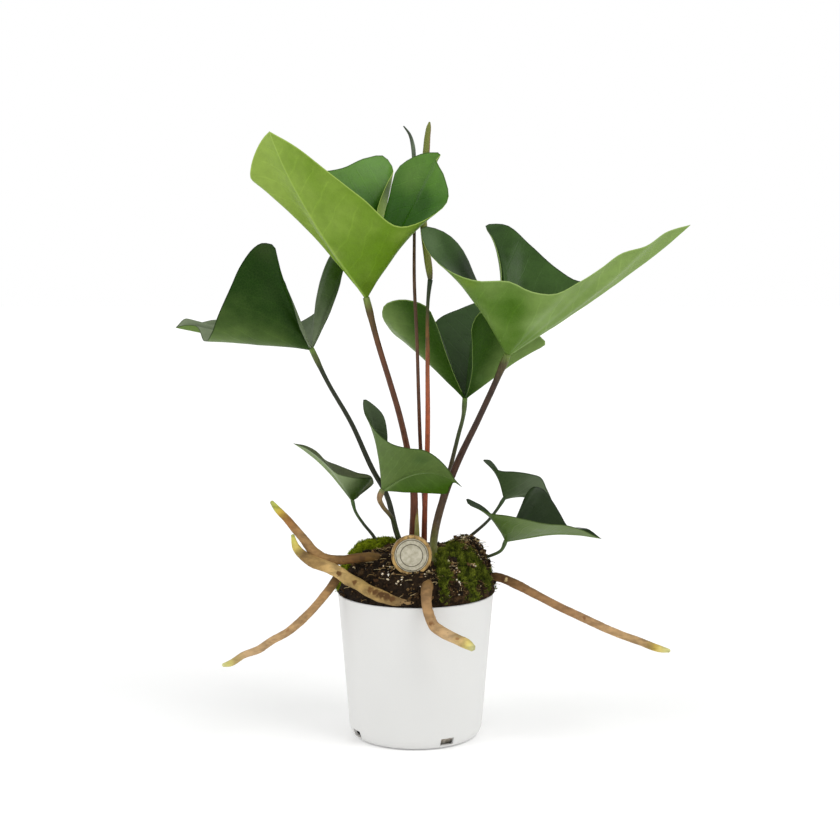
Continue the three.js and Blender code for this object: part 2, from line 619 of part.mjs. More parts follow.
// Plant tag: a shallow round cap on a pin, its open side to the front with a disc set in it
function tagCap() {
  const rim = [
    [0, 0], [TAG_RADIUS - TAG_BACK_EDGE, 0], [TAG_RADIUS, TAG_BACK_EDGE],
    [TAG_RADIUS, TAG_DEPTH - TAG_RIM_EDGE], [TAG_RADIUS - TAG_RIM_EDGE, TAG_DEPTH],
    [TAG_FACE_RADIUS + GAP, TAG_DEPTH],
    [TAG_FACE_RADIUS + GAP, TAG_DEPTH - TAG_RECESS - GAP], [0, TAG_DEPTH - TAG_RECESS - GAP],
  ].map(([radius, height]) => new THREE.Vector2(radius, height));
  const cap = standing(new THREE.LatheGeometry(rim, TAG_SIDES));
  cap.rotateX(Math.PI / 2);
  return geometryOf(solidOf(cap).add(solidOf(tagPin())));
}

// The pin under the cap, or with an extra the room it needs in the soil
function tagPin(extra = 0) {
  const length = TAG_PIN_LENGTH + extra;
  const pin = new THREE.CylinderGeometry(
    TAG_PIN_RADIUS + extra, TAG_PIN_TIP_RADIUS + extra, length, TAG_PIN_SIDES,
  );
  pin.rotateX(Math.PI / 2);
  pin.translate(0, TAG_PIN_FORWARD - TAG_DEPTH / 2, TAG_PIN_OVERLAP - TAG_RADIUS - length / 2);
  return pin;
}

function tagFace() {
  const depth = TAG_RECESS - TAG_FACE_SUNK;
  const disc = new THREE.CylinderGeometry(TAG_FACE_RADIUS, TAG_FACE_RADIUS, depth, TAG_SIDES);
  disc.translate(0, TAG_DEPTH - TAG_FACE_SUNK - depth / 2, 0);
  disc.rotateZ(Math.PI);
  return disc;
}

// A little more than the tag's own form, so that the soil keeps clear of it
function tagHole() {
  const radius = TAG_RADIUS + GAP;
  const room = new THREE.CylinderGeometry(radius, radius, TAG_DEPTH + 2 * GAP, TAG_SIDES);
  const pinRoom = tagPin(GAP);
  room.translate(0, -TAG_DEPTH / 2, 0);
  room.translate(...TAG_CENTRE);
  pinRoom.translate(...TAG_CENTRE);
  return solidOf(room).add(solidOf(pinRoom));
}

function piece(name, geometry, color, roughness, position = [0, 0, 0]) {
  const material = new THREE.MeshStandardMaterial({ color, roughness, metalness: 0 });
  const mesh = new THREE.Mesh(geometry, material);
  mesh.name = name;
  mesh.position.set(...position);
  return mesh;
}

// The plant in its pot
const plant = new THREE.Group();

const holes = [
  ...Object.values(STALKS).map(holeFor),
  ...[YOUNG_LEAF, FLOWER_STALK, SHEATH].map(holeFor),
  ...[ROOT_LEFT_LOW, ROOT_FORK_UPPER, ROOT_FORK_LOWER, ROOT_FRONT, ROOT_RIGHT].map(holeFor),
  tagHole(),
];

plant.add(piece('pot', pot(), 0xe6e6e2, 0.45));
plant.add(piece('soil', geometryOf(cutFrom(soilBody(), holes)), 0x35261b, 0.95));
const mossCuts = [soilBody(SEAT), rimRoom(), ...holes];
for (const patch of MOSS_PATCHES) {
  plant.add(piece(patch.name, moss(patch, mossCuts), patch.color, 1));
}

for (const leaf of LEAVES) {
  plant.add(piece(leaf.name, blade(leaf), leaf.color, 0.45, leaf.base));
  const stalk = stopShort(STALKS[leaf.name], leaf.knuckle + GAP);
  plant.add(piece(leaf.name.replace('leaf', 'stalk'), bar(stalk), 0x4a3020, 0.5));
}

plant.add(piece('young_leaf', bar(YOUNG_LEAF), 0x6b4530, 0.5));
plant.add(piece('flower_stalk', bar(FLOWER_STALK), 0x8f4a2c, 0.5));
plant.add(piece('spadix', bar(SPADIX, 0, 10), 0x6f7430, 0.6));
plant.add(piece('stem_sheath', bar(SHEATH), 0x7a7a3a, 0.7));

const fork = solidOf(bar(ROOT_FORK_UPPER)).add(solidOf(bar(ROOT_FORK_LOWER)));
plant.add(piece('root_left_low', bar(ROOT_LEFT_LOW), 0x94785c, 0.8));
plant.add(piece('root_left_forked', geometryOf(fork), 0xa8865a, 0.8));
plant.add(piece('root_front', bar(ROOT_FRONT), 0x94785c, 0.8));
plant.add(piece('root_right', bar(ROOT_RIGHT), 0x94785c, 0.8));

plant.add(piece('tag_cap', tagCap(), 0xa08a4c, 0.5, TAG_CENTRE));
plant.add(piece('tag_face', tagFace(), 0xd8cfb8, 0.7, TAG_CENTRE));

export default plant;
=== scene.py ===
"""Potted arrow anthurium: the detailed surfaces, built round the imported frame. Metres, +Z up."""
import math
from typing import NamedTuple

import bpy
import numpy as np
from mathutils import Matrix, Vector, noise


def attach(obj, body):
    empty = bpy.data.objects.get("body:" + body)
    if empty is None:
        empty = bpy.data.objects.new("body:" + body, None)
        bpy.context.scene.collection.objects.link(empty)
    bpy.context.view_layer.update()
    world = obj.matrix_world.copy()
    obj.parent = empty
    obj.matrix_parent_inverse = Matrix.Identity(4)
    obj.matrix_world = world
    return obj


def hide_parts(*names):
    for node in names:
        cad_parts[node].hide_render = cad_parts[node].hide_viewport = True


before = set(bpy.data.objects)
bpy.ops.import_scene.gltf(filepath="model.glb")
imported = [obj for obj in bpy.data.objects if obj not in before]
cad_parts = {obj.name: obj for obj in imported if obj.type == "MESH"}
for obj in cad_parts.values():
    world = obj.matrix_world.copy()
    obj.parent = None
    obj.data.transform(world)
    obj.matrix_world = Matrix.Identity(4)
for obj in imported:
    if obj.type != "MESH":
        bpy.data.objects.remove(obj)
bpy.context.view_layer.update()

MM = 0.001

# Camera of the photograph, and the stage
CAMERA_DISTANCE = 1.300
CAMERA_PITCH = 6.5
CAMERA_TARGET = (0.0033, 0.0, 0.245)
CAMERA_LENS = 72.9
CAMERA_SENSOR = 36.0
FLOOR_SIZE = 14.0
FLOOR_GLOW = 0.075
SKY_WHITE_BELOW = 0.24
SKY_SOFT_ABOVE = 0.6
SKY_OVERHEAD = 0.67
SUN_SPREAD = 34.0
SUNS = {"sun_right": ((0.62, -0.42, 0.8), 0.95), "sun_left": ((-0.7, -0.35, 0.7), 0.6)}

# Pot, in millimetres. Its foot is rounded by points (beyond the foot's radius, height).
POT_HEIGHT = 112.0
POT_TOP_RADIUS = 60.0
POT_FOOT_RADIUS = 45.0
POT_CORNER_HEIGHT = 9.0
POT_CORNER_RADIUS = 51.5
POT_ROUNDING = [(-1, 0), (0.4, 0.2), (2.4, 0.9), (4.0, 2.2), (5.1, 4.0), (5.9, 6.2)]
POT_WALL = 1.6
POT_FLOOR = 2.4
POT_SIDES = 160
SLOT_WIDTH = 11.0
SLOT_HEIGHT = 5.5
SLOT_LIFT = 3.2
SLOT_CUT = 14.0
SLOT_ANGLES = (-62.0, 28.0, 118.0, 208.0)

# Soil mound, in millimetres
MOUND_FOOT = 112.8
MOUND_RISE = 33.0
MOUND_FRONT_RADIUS = 57.5
MOUND_SIDE_RADIUS = 60.5
MOUND_FRONT_SLOPE = 2.7
MOUND_BACK_SLOPE = 6.0
CLOD_PLACE = (45.0, 13.0)
CLOD_RISE = 12.0
CLOD_SPREAD = 9.0
SOIL_FOOT = 2.8
SOIL_TOP_REACH = 57.0
SOIL_WALL = [(POT_FOOT_RADIUS, SOIL_FOOT), (48.8, 9.0), (57.7, 108.0), (57.8, 112.3)]
SOIL_SIDES = 220
SOIL_RINGS = 72
SOIL_INNER = 0.1

# Litter on the soil: how many bits of each kind, and sizes in millimetres
SOIL_PLACES = 3400
CRUMBS = 3000
BARK_CHIPS = 170
BARK_SIZES = (1.0, 2.3)
LOOSE_GRAINS = 90
GRAIN_SIZES = (0.35, 1.15)
PALE_CLUSTERS = [
    (-20, -45), (10, -49), (43, -29), (27, -41), (3, -42), (33, -46), (-12, -54), (38, 2), (47, 6),
    (48, -14),
]
PALE_REACH = 4.0
PALE_GRAINS = 15
FIBRES = 620
FIBRE_LENGTHS = (3, 11)
FIBRE_RADII = (0.13, 0.3)
FIBRE_STEPS = 7
FIBRE_SIDES = 4
FIBRE_DROOP = 0.2


class Moss(NamedTuple):
    """Cushion between two angles of the mound, from the inner share of its radius outwards. cover is
    how thickly it grows, bare lists bare places (x, y, radius), colours are dark, light and tip."""
    start: float
    end: float
    inner: float
    depth: float
    cover: float
    bare: list
    colours: tuple
    seed: int


MOSS_EDGE_DEPTH = 1.6
MOSS_SHOOT_ROOM = 1.3
MOSS_SUNK = 1.5
MOSS_LOWEST = 112.6
MOSS_COLUMNS, MOSS_ROWS = ((130, 48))
MOSS_SHOOTS = 9600
MOSS_LEAFLETS = 5
SHOOT_SIZES = (1.2, 2.4)
MOSS_PATCHES = {
    "moss_back": Moss(66, 190, 0.42, 5.5, 1.4, [], ((62, 72, 4), (134, 150, 16), (190, 206, 48)), 21),
    "moss_right": Moss(-72, 24, 0.4, 3.0, 1.05, [(44, 5, 12), (46, -7, 7), (30, -49, 6), (27, -38, 4)],
                       ((30, 34, 8), (84, 96, 18), (160, 170, 60)), 22),
}

# Plant tag, in millimetres
TAG_CENTRE = (-3.0, -46.0, 149.5)
TAG_RADIUS = 15.2
TAG_FACE_RADIUS = 12.6
TAG_DEPTH = 4.0
TAG_RECESS = 1.2
TAG_RINGS = (11.9, 8.6)
TAG_RING_HEIGHT = 0.22
TAG_PIN_RADIUS = 1.2
TAG_PIN_LENGTH = 24.0
TAG_PIN_DEPTH = 1.6
TAG_SIDES = 96

# Leaf blades, in millimetres, and the look of their veins
BLADE_HALF = 0.34
BLADE_EDGE_HALF = 0.16
BLADE_SKEW = 0.3
BLADE_COLUMNS = 64
BLADE_ROWS = 34
MIDRIB_RISE = 0.55
WAVE_HEIGHT = 0.35
WAVE_SIZE = 22.0
SIDE_VEINS = 8.5
LEAST_VEIN_GAP = 7.5

# Stalks, spadix and roots: points round each tube, and the spacing of its rings in millimetres
STALK_SIDES = 20
STALK_SPACING = 1.6
SPADIX_SIDES, SPADIX_SPACING = ((60, 0.28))
SPADIX_LENGTH = 118.0
SPADIX_ROW = 1.15
FLOWERS_ROUND = 12
ROOT_SIDES, ROOT_SPACING = ((36, 0.7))


class Tone(NamedTuple):
    """One side of a blade, in colours of 8 bits a channel. The share of the light colour is level
    plus slope times x, y and reach, in decimetres on the flattened blade: x along the midrib,
    y towards the left lobe. This change and the spots are partly the leaf's own colour and partly
    painted light and shade: painted sheen, painted highlights, painted light through the leaf and
    painted shadow. A spot is (x mm, y mm, radius mm, colour). The midrib is a share of the veins'
    colour, and a blade without a margin colour has a dark one, painted shade along its edge."""
    deep: tuple
    light: tuple
    level: float
    slope: tuple = (0, 0, 0)
    margin: tuple = ()
    midrib: float = 0.5
    spots: list = ()


class Leaf(NamedTuple):
    """A stalk line of (x, y, z, radius) from inside the soil to the blade, whose points are
    measured from the stalk's end. A margin point is (x, y, z, bow): bow is how far its ray sags
    outwards, as a share of its length. right and left run from the notch over the stalk, round
    the back lobe, towards the tip. skin gives (share of the length, colour) up the stalk."""
    knuckle: float
    tip: tuple
    right: list
    left: list
    stalk: list
    skin: list
    under: Tone
    upper: Tone


class Root(NamedTuple):
    """Lines of (x, y, z, radius), colours along them, and scars (x, y, z, radius, colour)."""
    line: list
    skin: list
    marks: list
    fork: list = ()


LEAVES = {}
LEAVES["top"] = Leaf(
    knuckle=3,
    tip=(-68, -42, 122, 0.04),
    right=[
        (1.5, 5, 12.5), (5, 19, 41, 0.01), (8, 32.5, 69, 0.01), (14.5, 49, 87, 0.02), (18.5, 67, 101, 0.01),
        (12.5, 68.5, 108.5, 0.01), (-2, 60, 107), (-19, 45.5, 99), (-51, 21, 93), (-74, 0, 84, -0.03),
        (-85, -12.5, 90, -0.03), (-84, -17.5, 98, -0.02), (-79, -25, 110), (-73, -34, 118, 0.03),
    ],
    left=[
        (3, 5, 15.5), (8.5, 11, 36.5), (14.5, 17.5, 63.5), (18, 21.5, 79), (23, 23.5, 97, -0.01),
        (38, 14, 107), (45.5, 7.5, 109), (56, -1, 107.5), (52.5, -4, 104.5), (57.5, -12.5, 93, -0.02),
        (60.5, -24.5, 72, -0.06), (50, -32, 62, -0.05), (25, -39.5, 54, -0.01), (-1, -46, 74, 0.02),
        (-28, -50, 95, 0.03), (-46, -50, 109, 0.03),
    ],
    stalk=[
        (-2.5, 2, 124, 3), (-2.5, 2, 146, 3), (-1.5, 0, 190, 2.9), (-7, -3, 226, 2.4), (-13, -5, 252, 2.3),
        (-20, -6, 276, 2.2), (-29, -8, 306, 2.2), (-37, -10, 338, 2.4),
    ],
    skin=[
        (0.0, (60, 44, 22)), (0.2, (96, 52, 30)), (0.8, (92, 56, 34)), (0.94, (84, 66, 34)),
        (1.0, (112, 130, 60)),
    ],
    # Under side: its bright yellow-green and its lean are partly painted light shining through the leaf; the
    # spots at (36, 54) and (44, -4) are painted sheen, the one at (5, -97) is painted shade.
    under=Tone((92, 126, 18), (140, 166, 72), 0.25, (0.38, -0.88, 0), margin=(166, 190, 96), spots=[
        (8, 6, 18, (78, 106, 8)), (36, 54, 17, (118, 146, 52)), (44, -4, 12, (128, 150, 70)),
        (5, -97, 30, (22, 54, 4)),
    ]),
    # Upper side: lighter further out as painted sheen; the pale spots at (-28, 94) and (28, -112) are painted
    # highlights, and the dark spot at (4, 84) is painted shade beside a highlight.
    upper=Tone((45, 92, 6), (84, 126, 42), -1.6, (0, 0, 2.3), spots=[
        (-28, 94, 20, (92, 130, 52)), (4, 84, 16, (40, 80, 12)), (28, -112, 20, (94, 136, 58)),
    ]),
)
LEAVES["left"] = Leaf(
    knuckle=2.6,
    tip=(-110, 46.5, 14, 0.01),
    right=[
        (3, 0.5, 5), (8, 4.5, 16), (16, 12, 34), (22, 25.5, 55), (24, 31.5, 75, -0.03),
        (14, 33.5, 73, -0.05), (10.5, 32, 62, -0.04), (8.5, 34, 44, -0.05), (3.5, 36.5, 29, -0.01),
        (-7, 37.5, 21), (-47, 40.5, 14), (-80, 43.5, 20), (-93, 45, 18), (-102, 46, 21),
    ],
    left=[
        (-2, -10, 3), (-7.5, -18, 16.5), (-14, -21, 39), (-19, -27.5, 54.5), (-21, -32.5, 61.5, -0.05),
        (-22.5, -36.5, 70.5, -0.07), (-25, -42.5, 79.5, -0.08), (-31.5, -38.5, 81, -0.05), (-41, -28.5, 77),
        (-51, -25, 64, 0.03), (-59, -20, 48, 0.03), (-70, -10.5, 26, 0.02), (-76, 0.5, 13),
        (-85, 21.5, 5, -0.01), (-93, 35.5, 16, 0.01), (-102, 40.5, 16, 0.01),
    ],
    stalk=[
        (-11, -3, 124, 2.2), (-11, -3, 146, 2.2), (-15, -5, 160, 2.2), (-23, -7, 190, 2), (-32, -6, 206, 2),
        (-49, -4, 243, 1.8), (-68, -1, 276, 1.7), (-79, 0, 299, 2),
    ],
    skin=[
        (0.0, (38, 40, 18)), (0.5, (34, 38, 19)), (0.9, (36, 42, 22)), (0.96, (84, 94, 44)),
        (1.0, (96, 120, 50)),
    ],
    # Under side: its change from dark to light across the blade is painted shade and painted light.
    under=Tone((25, 54, 3), (96, 121, 57), 0.33, (0.9, -0.95, 0), spots=[
        (-1, 90, 16, (38, 60, 14)), (14, 54, 14, (34, 60, 14)),
    ]),
    # Upper side: the grey light colour is a painted reflection of the sky at a grazing angle; the large spot
    # keeps it off part of the left lobe.
    upper=Tone((44, 70, 16), (118, 130, 102), 1.0, (0, 1.5, 0), spots=[(-14, 62, 56, (48, 74, 24))]),
)
LEAVES["right"] = Leaf(
    knuckle=3,
    tip=(136, -5, 98, 0.02),
    right=[
        (-5, 2.5, 13), (-17, 1, 42), (-24, -1, 55), (-28, -6, 68), (-38, -13, 85), (-50, -22, 94, -0.02),
        (-65, -33.5, 96, -0.04), (-61, -39, 81, -0.05), (-48, -42.5, 67, -0.04), (-25, -46, 58),
        (0, -47, 57), (15, -45, 50), (32, -43, 48), (51, -40, 57), (67, -37, 67, 0.02), (81, -32, 77, 0.03),
        (101, -26, 83, 0.03), (117, -16, 93, 0.03),
    ],
    left=[
        (-1.5, 5.5, 15.5), (-2.5, 17.5, 41.5), (-4.5, 38, 72), (-8.5, 56, 87, -0.05),
        (-12.5, 74, 98.5, -0.1), (-6.5, 71, 99, -0.07), (2, 65, 98, -0.04), (20, 53.5, 83), (40, 39.5, 65),
        (57, 27.5, 55), (83, 16, 63), (111, 4, 79, 0.02),
    ],
    stalk=[
        (14.5, -40, 133, 2.7), (14.5, -39, 139, 2.8), (13.5, -31, 148, 2.9), (14, -17, 157, 3),
        (16.5, -6, 168, 3), (22, -4, 187, 2.9), (32, -5, 213, 2.7), (48, -7, 247, 2.4), (61, -9, 276, 2.4),
        (69, -10, 295, 2.6),
    ],
    skin=[
        (0.0, (86, 90, 38)), (0.14, (88, 88, 40)), (0.26, (74, 56, 34)), (0.5, (66, 42, 28)),
        (0.85, (58, 40, 28)), (0.95, (76, 66, 38)), (1.0, (104, 124, 56)),
    ],
    # Under side: the pale spot at (36, -20) is a painted sheen.
    under=Tone((64, 102, 6), (124, 150, 78), 0.5, (0.45, 0, 0), margin=(158, 182, 108), spots=[
        (20, -48, 30, (62, 100, 6)), (36, -20, 20, (132, 158, 92)), (-2, -80, 14, (102, 130, 44)),
    ]),
    upper=Tone((16, 38, 4), (64, 94, 40), 0.6, spots=[
        (-37, -62, 26, (15, 33, 4)), (-40, -104, 18, (76, 98, 60)),
    ]),
)
LEAVES["back"] = Leaf(
    knuckle=2.6,
    tip=(30, 100, 76),
    right=[
        (2, -8, 6), (5, -18, 23), (5, -23, 44), (5, -26, 60), (10, -22, 68), (21, -10, 66), (36, -5, 60),
        (52, -5, 53), (62, -4, 44, -0.02), (55, 4, 38, -0.03), (44, 30, 34, -0.02), (41, 66, 54),
        (39, 86, 67),
    ],
    left=[
        (-3, -5, 7), (-9, -12, 21), (-16, -16, 40), (-23, -18, 61), (-29, -18, 72), (-41, -15, 77),
        (-54, -9, 77), (-62, -3, 73), (-64, 3, 66), (-60, 14, 56, -0.01), (-51, 27, 46, -0.02),
        (-33, 42, 40), (-21, 60, 58), (0, 80, 67), (15, 92, 72),
    ],
    stalk=[
        (14, 9, 124, 1.7), (14, 9, 144, 1.7), (18, 12, 173, 1.7), (27, 15, 207, 1.7), (33, 17, 231, 1.6),
        (37, 18, 247, 1.6), (38, 18, 259, 1.9),
    ],
    skin=[
        (0.0, (34, 36, 18)), (0.5, (56, 52, 28)), (0.62, (68, 60, 36)), (0.8, (62, 72, 40)),
        (0.95, (84, 98, 52)), (1.0, (90, 116, 50)),
    ],
    under=Tone((44, 76, 5), (112, 138, 72), 0.1, (3.5, 0, 0.6), margin=(140, 166, 90), spots=[
        (3, -19, 8, (80, 110, 48)),
    ]),
    upper=Tone((40, 64, 24), (58, 82, 42), 0.4),
)
LEAVES["small_centre"] = Leaf(
    knuckle=2.2,
    tip=(59, -16, 5, -0.19),
    right=[
        (1, -1, 10), (3, -3, 27), (4, -6, 45), (1, -9, 58), (-5, -12, 65), (-13, -15, 70, -0.04),
        (-13, -18, 63, -0.05), (-8, -22, 53, -0.05), (1, -26, 43, -0.06), (7, -28, 39, -0.06),
        (19, -30, 36, -0.04), (31, -29, 34, -0.03), (41, -26, 28, -0.05), (50, -22, 18, -0.12),
        (54, -18, 11, -0.17),
    ],
    left=[
        (1, 4, 4), (3, 14, 13), (7, 21, 21), (13, 25, 22), (19, 23, 15), (18, 17, 7), (13, 11, 0),
        (16, 9, -2), (32, 7, -1), (43, 3, -2), (48, -1, -2), (51, -9, 5, -0.1), (54, -14, 8, -0.16),
    ],
    stalk=[
        (-10, -12, 122, 1.5), (-10, -12, 144, 1.5), (-13, -16, 158, 1.4), (-18, -22, 173, 1.5),
        (-25, -31, 184, 1.7), (-27, -35, 190, 2), (-25, -35, 196, 2),
    ],
    skin=[
        (0.0, (40, 44, 20)), (0.6, (48, 58, 28)), (0.86, (120, 100, 66)), (0.95, (140, 112, 76)),
        (1.0, (110, 120, 70)),
    ],
    under=Tone((55, 86, 10), (86, 108, 54), 0.6, (0, -6, 0), midrib=1.0, spots=[
        (36, -26, 12, (68, 92, 44)), (4, -12, 12, (92, 112, 60)),
    ]),
    upper=Tone((46, 62, 34), (66, 80, 52), 0.4, (0, 0, 0.4)),
)
LEAVES["small_left"] = Leaf(
    knuckle=1.9,
    tip=(-44, -18, 47, -0.05),
    right=[
        (4, 2, 2), (8, 7, 6), (13, 13, 9), (16, 17, 11), (15, 18, 15), (3, 14, 20), (-11, 4, 27),
        (-21, -6, 33), (-28, -12, 41, -0.02), (-35, -15, 45, -0.03),
    ],
    left=[
        (3, 0, 2), (6, -2, 6), (11, -5, 13), (15, -9, 19), (9, -15, 20), (-1, -21, 22), (-11, -24, 25),
        (-19, -25, 32, -0.02), (-27, -23, 39, -0.03), (-35, -20, 44, -0.04),
    ],
    stalk=[
        (-25, 10, 120, 1.2), (-25, 10, 138, 1.2), (-33, 12, 153, 1.3), (-41, 12, 163, 1.2),
        (-47, 11, 173, 1.2), (-49, 10, 181, 1.4),
    ],
    skin=[(0.0, (40, 40, 20)), (0.6, (44, 52, 28)), (1.0, (70, 96, 46))],
    under=Tone((46, 70, 14), (132, 150, 106), -0.2, (5, 0, 0)),
    upper=Tone((62, 76, 34), (98, 106, 76), 0.6),
)
LEAVES["small_right"] = Leaf(
    knuckle=1.9,
    tip=(41, 9, -9, -0.2),
    right=[
        (-1, 2.5, 8), (-4, 2, 18, -0.03), (-9, 0, 25, -0.05), (-12, -8, 32, -0.11), (-17, -11, 32, -0.12),
        (-15, -11.5, 30, -0.1), (-10, -12, 27, -0.06), (-4, -11, 24, -0.03), (8, -11, 23), (20, -9, 21),
        (28, -4, 18), (34, 3, 7, -0.05),
    ],
    left=[
        (2, 3.5, 3), (4.5, 20, 9.5), (9, 31, 12.5), (17, 31, 11), (18, 19.5, 4), (12, 11, 1),
        (20, 12, -1, -0.05), (34, 12, -8, -0.14),
    ],
    stalk=[
        (28, 22, 116, 1.2), (28, 22, 136, 1.2), (39, 24, 147, 1.3), (58, 26, 164, 1.2), (62, 26, 169, 1.2),
        (69, 25, 180, 1.4),
    ],
    skin=[(0.0, (36, 34, 20)), (0.6, (42, 44, 26)), (1.0, (60, 80, 44))],
    under=Tone((66, 86, 48), (104, 118, 90), 0.25, (2, 0, 0)),
    upper=Tone((40, 54, 32), (62, 76, 52), 0.3, (0, 0, 0.8)),
)
LEAVES["low_right"] = Leaf(
    knuckle=1.9,
    tip=(71, -23, 6, -0.06),
    right=[
        (-2, 0, 5.5), (-7, -4, 16), (-14, -11, 25.5, -0.03), (-23, -19.5, 33, -0.06),
        (-31, -24.5, 36.5, -0.09), (-30, -26.5, 34, -0.09), (-22, -29, 30, -0.06), (-13, -32.5, 27, -0.03),
        (-1, -36, 26), (14, -38, 23), (30, -37, 20), (45, -33, 18), (58, -28, 13, -0.03),
        (65, -25, 9, -0.05),
    ],
    left=[
        (1, 6.5, 4), (8, 11, 11), (13, 14.5, 23), (17, 18.5, 34, -0.03), (23, 21, 39, -0.03),
        (30, 21.5, 37), (36, 18, 30), (43, 11, 19), (48, 4, 11), (56, -8, 12), (62, -16, 12, -0.04),
    ],
    stalk=[
        (26, 6, 112, 1.2), (28, 6, 128, 1.2), (45, 3, 136, 1.2), (58, -1, 140, 1.2), (66, -4, 145, 1.3),
        (69, -5, 152, 1.5),
    ],
    skin=[(0.0, (38, 36, 20)), (0.6, (44, 48, 26)), (1.0, (74, 96, 50))],
    under=Tone((70, 95, 32), (102, 123, 70), 0.1, (1.2, -0.6, 0)),
    upper=Tone((28, 44, 18), (52, 67, 37), 0.1, (0, 0.6, 0)),
)
YOUNG_LEAF = [
    (7, 13, 122, 1.5), (7, 13, 148, 1.5), (6, 11, 187, 1.5), (3.6, 4, 225, 1.5), (2.3, -4, 262, 1.4),
    (1, -9, 306, 1.3), (-1, -5, 352, 1.3), (-1, 1, 386, 1.2), (-1, 6, 419, 1.2), (-1, 8, 442, 1.3),
    (-2, 8, 453, 1.3), (-4.5, 7, 461, 1), (-9, 6, 467, 0.5),
]
FLOWER_STALK = [
    (6.5, 7, 124, 2.3), (6.5, 7, 146, 2.3), (7.5, 3, 190, 2), (8.8, -2, 219, 2), (9.2, -5, 246, 1.9),
    (9, -8, 294, 1.6), (10, -7, 344, 1.6), (11, -7, 352, 2),
]
SPADIX = [
    (11, -7, 352.5, 1.8), (10.5, -7, 357, 2.4), (8, -5, 375, 2.7), (6, -2, 393, 2.7), (5.5, 1, 412, 2.7),
    (6, 3, 431, 2.7), (8, 5, 448, 2.6), (9, 6, 460, 2.2), (10, 6, 467, 1.6), (10.5, 6, 470, 0.7),
]
SHEATH = [(1, -7, 130, 2), (1, -7, 146, 2.2), (1, -7, 160, 1.9), (1, -7, 171, 1.2), (1.5, -7, 178, 0.4)]
ROOTS = {}
ROOTS["left_low"] = Root(
    line=[
        (-44, -18, 124, 3.3), (-57, -25, 129, 3.4), (-65, -31, 120, 3.2), (-76, -34, 107, 3.1),
        (-86, -35, 97, 3.2), (-97, -36, 88, 3), (-108, -37, 82, 2.9), (-119, -38, 75, 2.9),
        (-130, -39, 71, 2.6), (-140, -40, 65, 2.3), (-145, -41, 64, 1.4),
    ],
    skin=[
        (0, (90, 64, 36)), (0.16, (100, 76, 44)), (0.26, (164, 128, 84)), (0.5, (180, 146, 102)),
        (0.85, (184, 154, 114)), (0.92, (178, 156, 100)), (0.97, (204, 196, 116)), (1, (214, 212, 150)),
    ],
    marks=[(-58, -29, 129, 3.0, (70, 46, 24)), (-96, -39, 90, 1.8, (150, 112, 74))],
)
ROOTS["left_forked"] = Root(
    line=[
        (-15, -21, 134, 3.6), (-24, -24, 141, 3.5), (-33, -28, 144, 3.5), (-43, -31, 144, 3.6),
        (-57, -34, 143, 3.6), (-69, -37, 145, 3.8), (-76, -38, 150, 3.8), (-84, -37, 160, 3.4),
        (-91, -36, 168, 3.1), (-96, -35, 174, 2.9), (-104, -33, 182, 2.4), (-108, -32, 187, 1.4),
    ],
    fork=[
        (-92, -38, 163, 1.2), (-89, -39, 153, 3), (-83, -40, 147, 3.8), (-76, -41, 143, 4.6),
        (-66, -39, 139, 4.6), (-57, -38, 134, 4.7), (-51, -40, 130, 4.6), (-43, -43, 126.5, 4.5),
        (-34, -50, 122.5, 4.6), (-25, -54, 119.5, 4.6), (-15, -56.5, 116.5, 3.6), (-6, -57.5, 115.5, 2.5),
        (3, -57, 115, 1.9), (9, -55.5, 114.6, 1.2),
    ],
    skin=[
        (0, (50, 38, 16)), (0.05, (70, 50, 26)), (0.1, (112, 84, 40)), (0.16, (110, 78, 40)),
        (0.22, (142, 108, 64)), (0.3, (152, 118, 74)), (0.36, (160, 126, 84)), (0.42, (158, 110, 58)),
        (0.455, (178, 150, 60)), (0.48, (186, 190, 84)), (0.5, (172, 178, 96)), (0.51, (190, 184, 88)),
        (0.54, (196, 176, 92)), (0.57, (130, 104, 62)), (0.62, (174, 140, 86)), (0.68, (198, 166, 108)),
        (0.76, (154, 128, 76)), (0.82, (170, 140, 84)), (0.9, (134, 108, 66)), (1, (160, 128, 88)),
    ],
    marks=[
        (-57, -43, 134.5, 2.4, (92, 62, 26)), (-46, -47, 128.5, 2.4, (96, 64, 28)),
        (-33, -53, 123.6, 3.2, (96, 64, 28)), (-29, -55.5, 122.5, 3.7, (82, 52, 20)),
        (-25, -57.5, 121.4, 3.7, (74, 47, 17)), (-21, -58.5, 120.4, 3.5, (74, 47, 17)),
        (-17, -59.5, 119.4, 3.0, (86, 56, 24)), (-40, -34, 144, 3.0, (78, 54, 26)),
    ],
)
ROOTS["front"] = Root(
    line=[
        (7, -33, 121, 4.4), (9, -48, 127, 4.8), (8, -60, 124, 4.2), (8, -66, 117, 3.8), (10, -69, 109, 3.8),
        (14, -72, 101, 4.1), (19, -75, 98, 4.1), (29, -80, 94, 3.8), (38, -84, 90.5, 3.6),
        (42, -86, 88, 2.4),
    ],
    skin=[
        (0, (112, 84, 48)), (0.25, (128, 98, 58)), (0.4, (154, 120, 80)), (0.6, (172, 138, 96)),
        (0.8, (190, 160, 118)), (0.9, (194, 166, 108)), (0.95, (202, 186, 106)), (1, (202, 198, 140)),
    ],
    marks=[(12, -74, 104, 2.2, (122, 86, 52)), (30, -84, 95, 1.6, (150, 112, 70))],
)
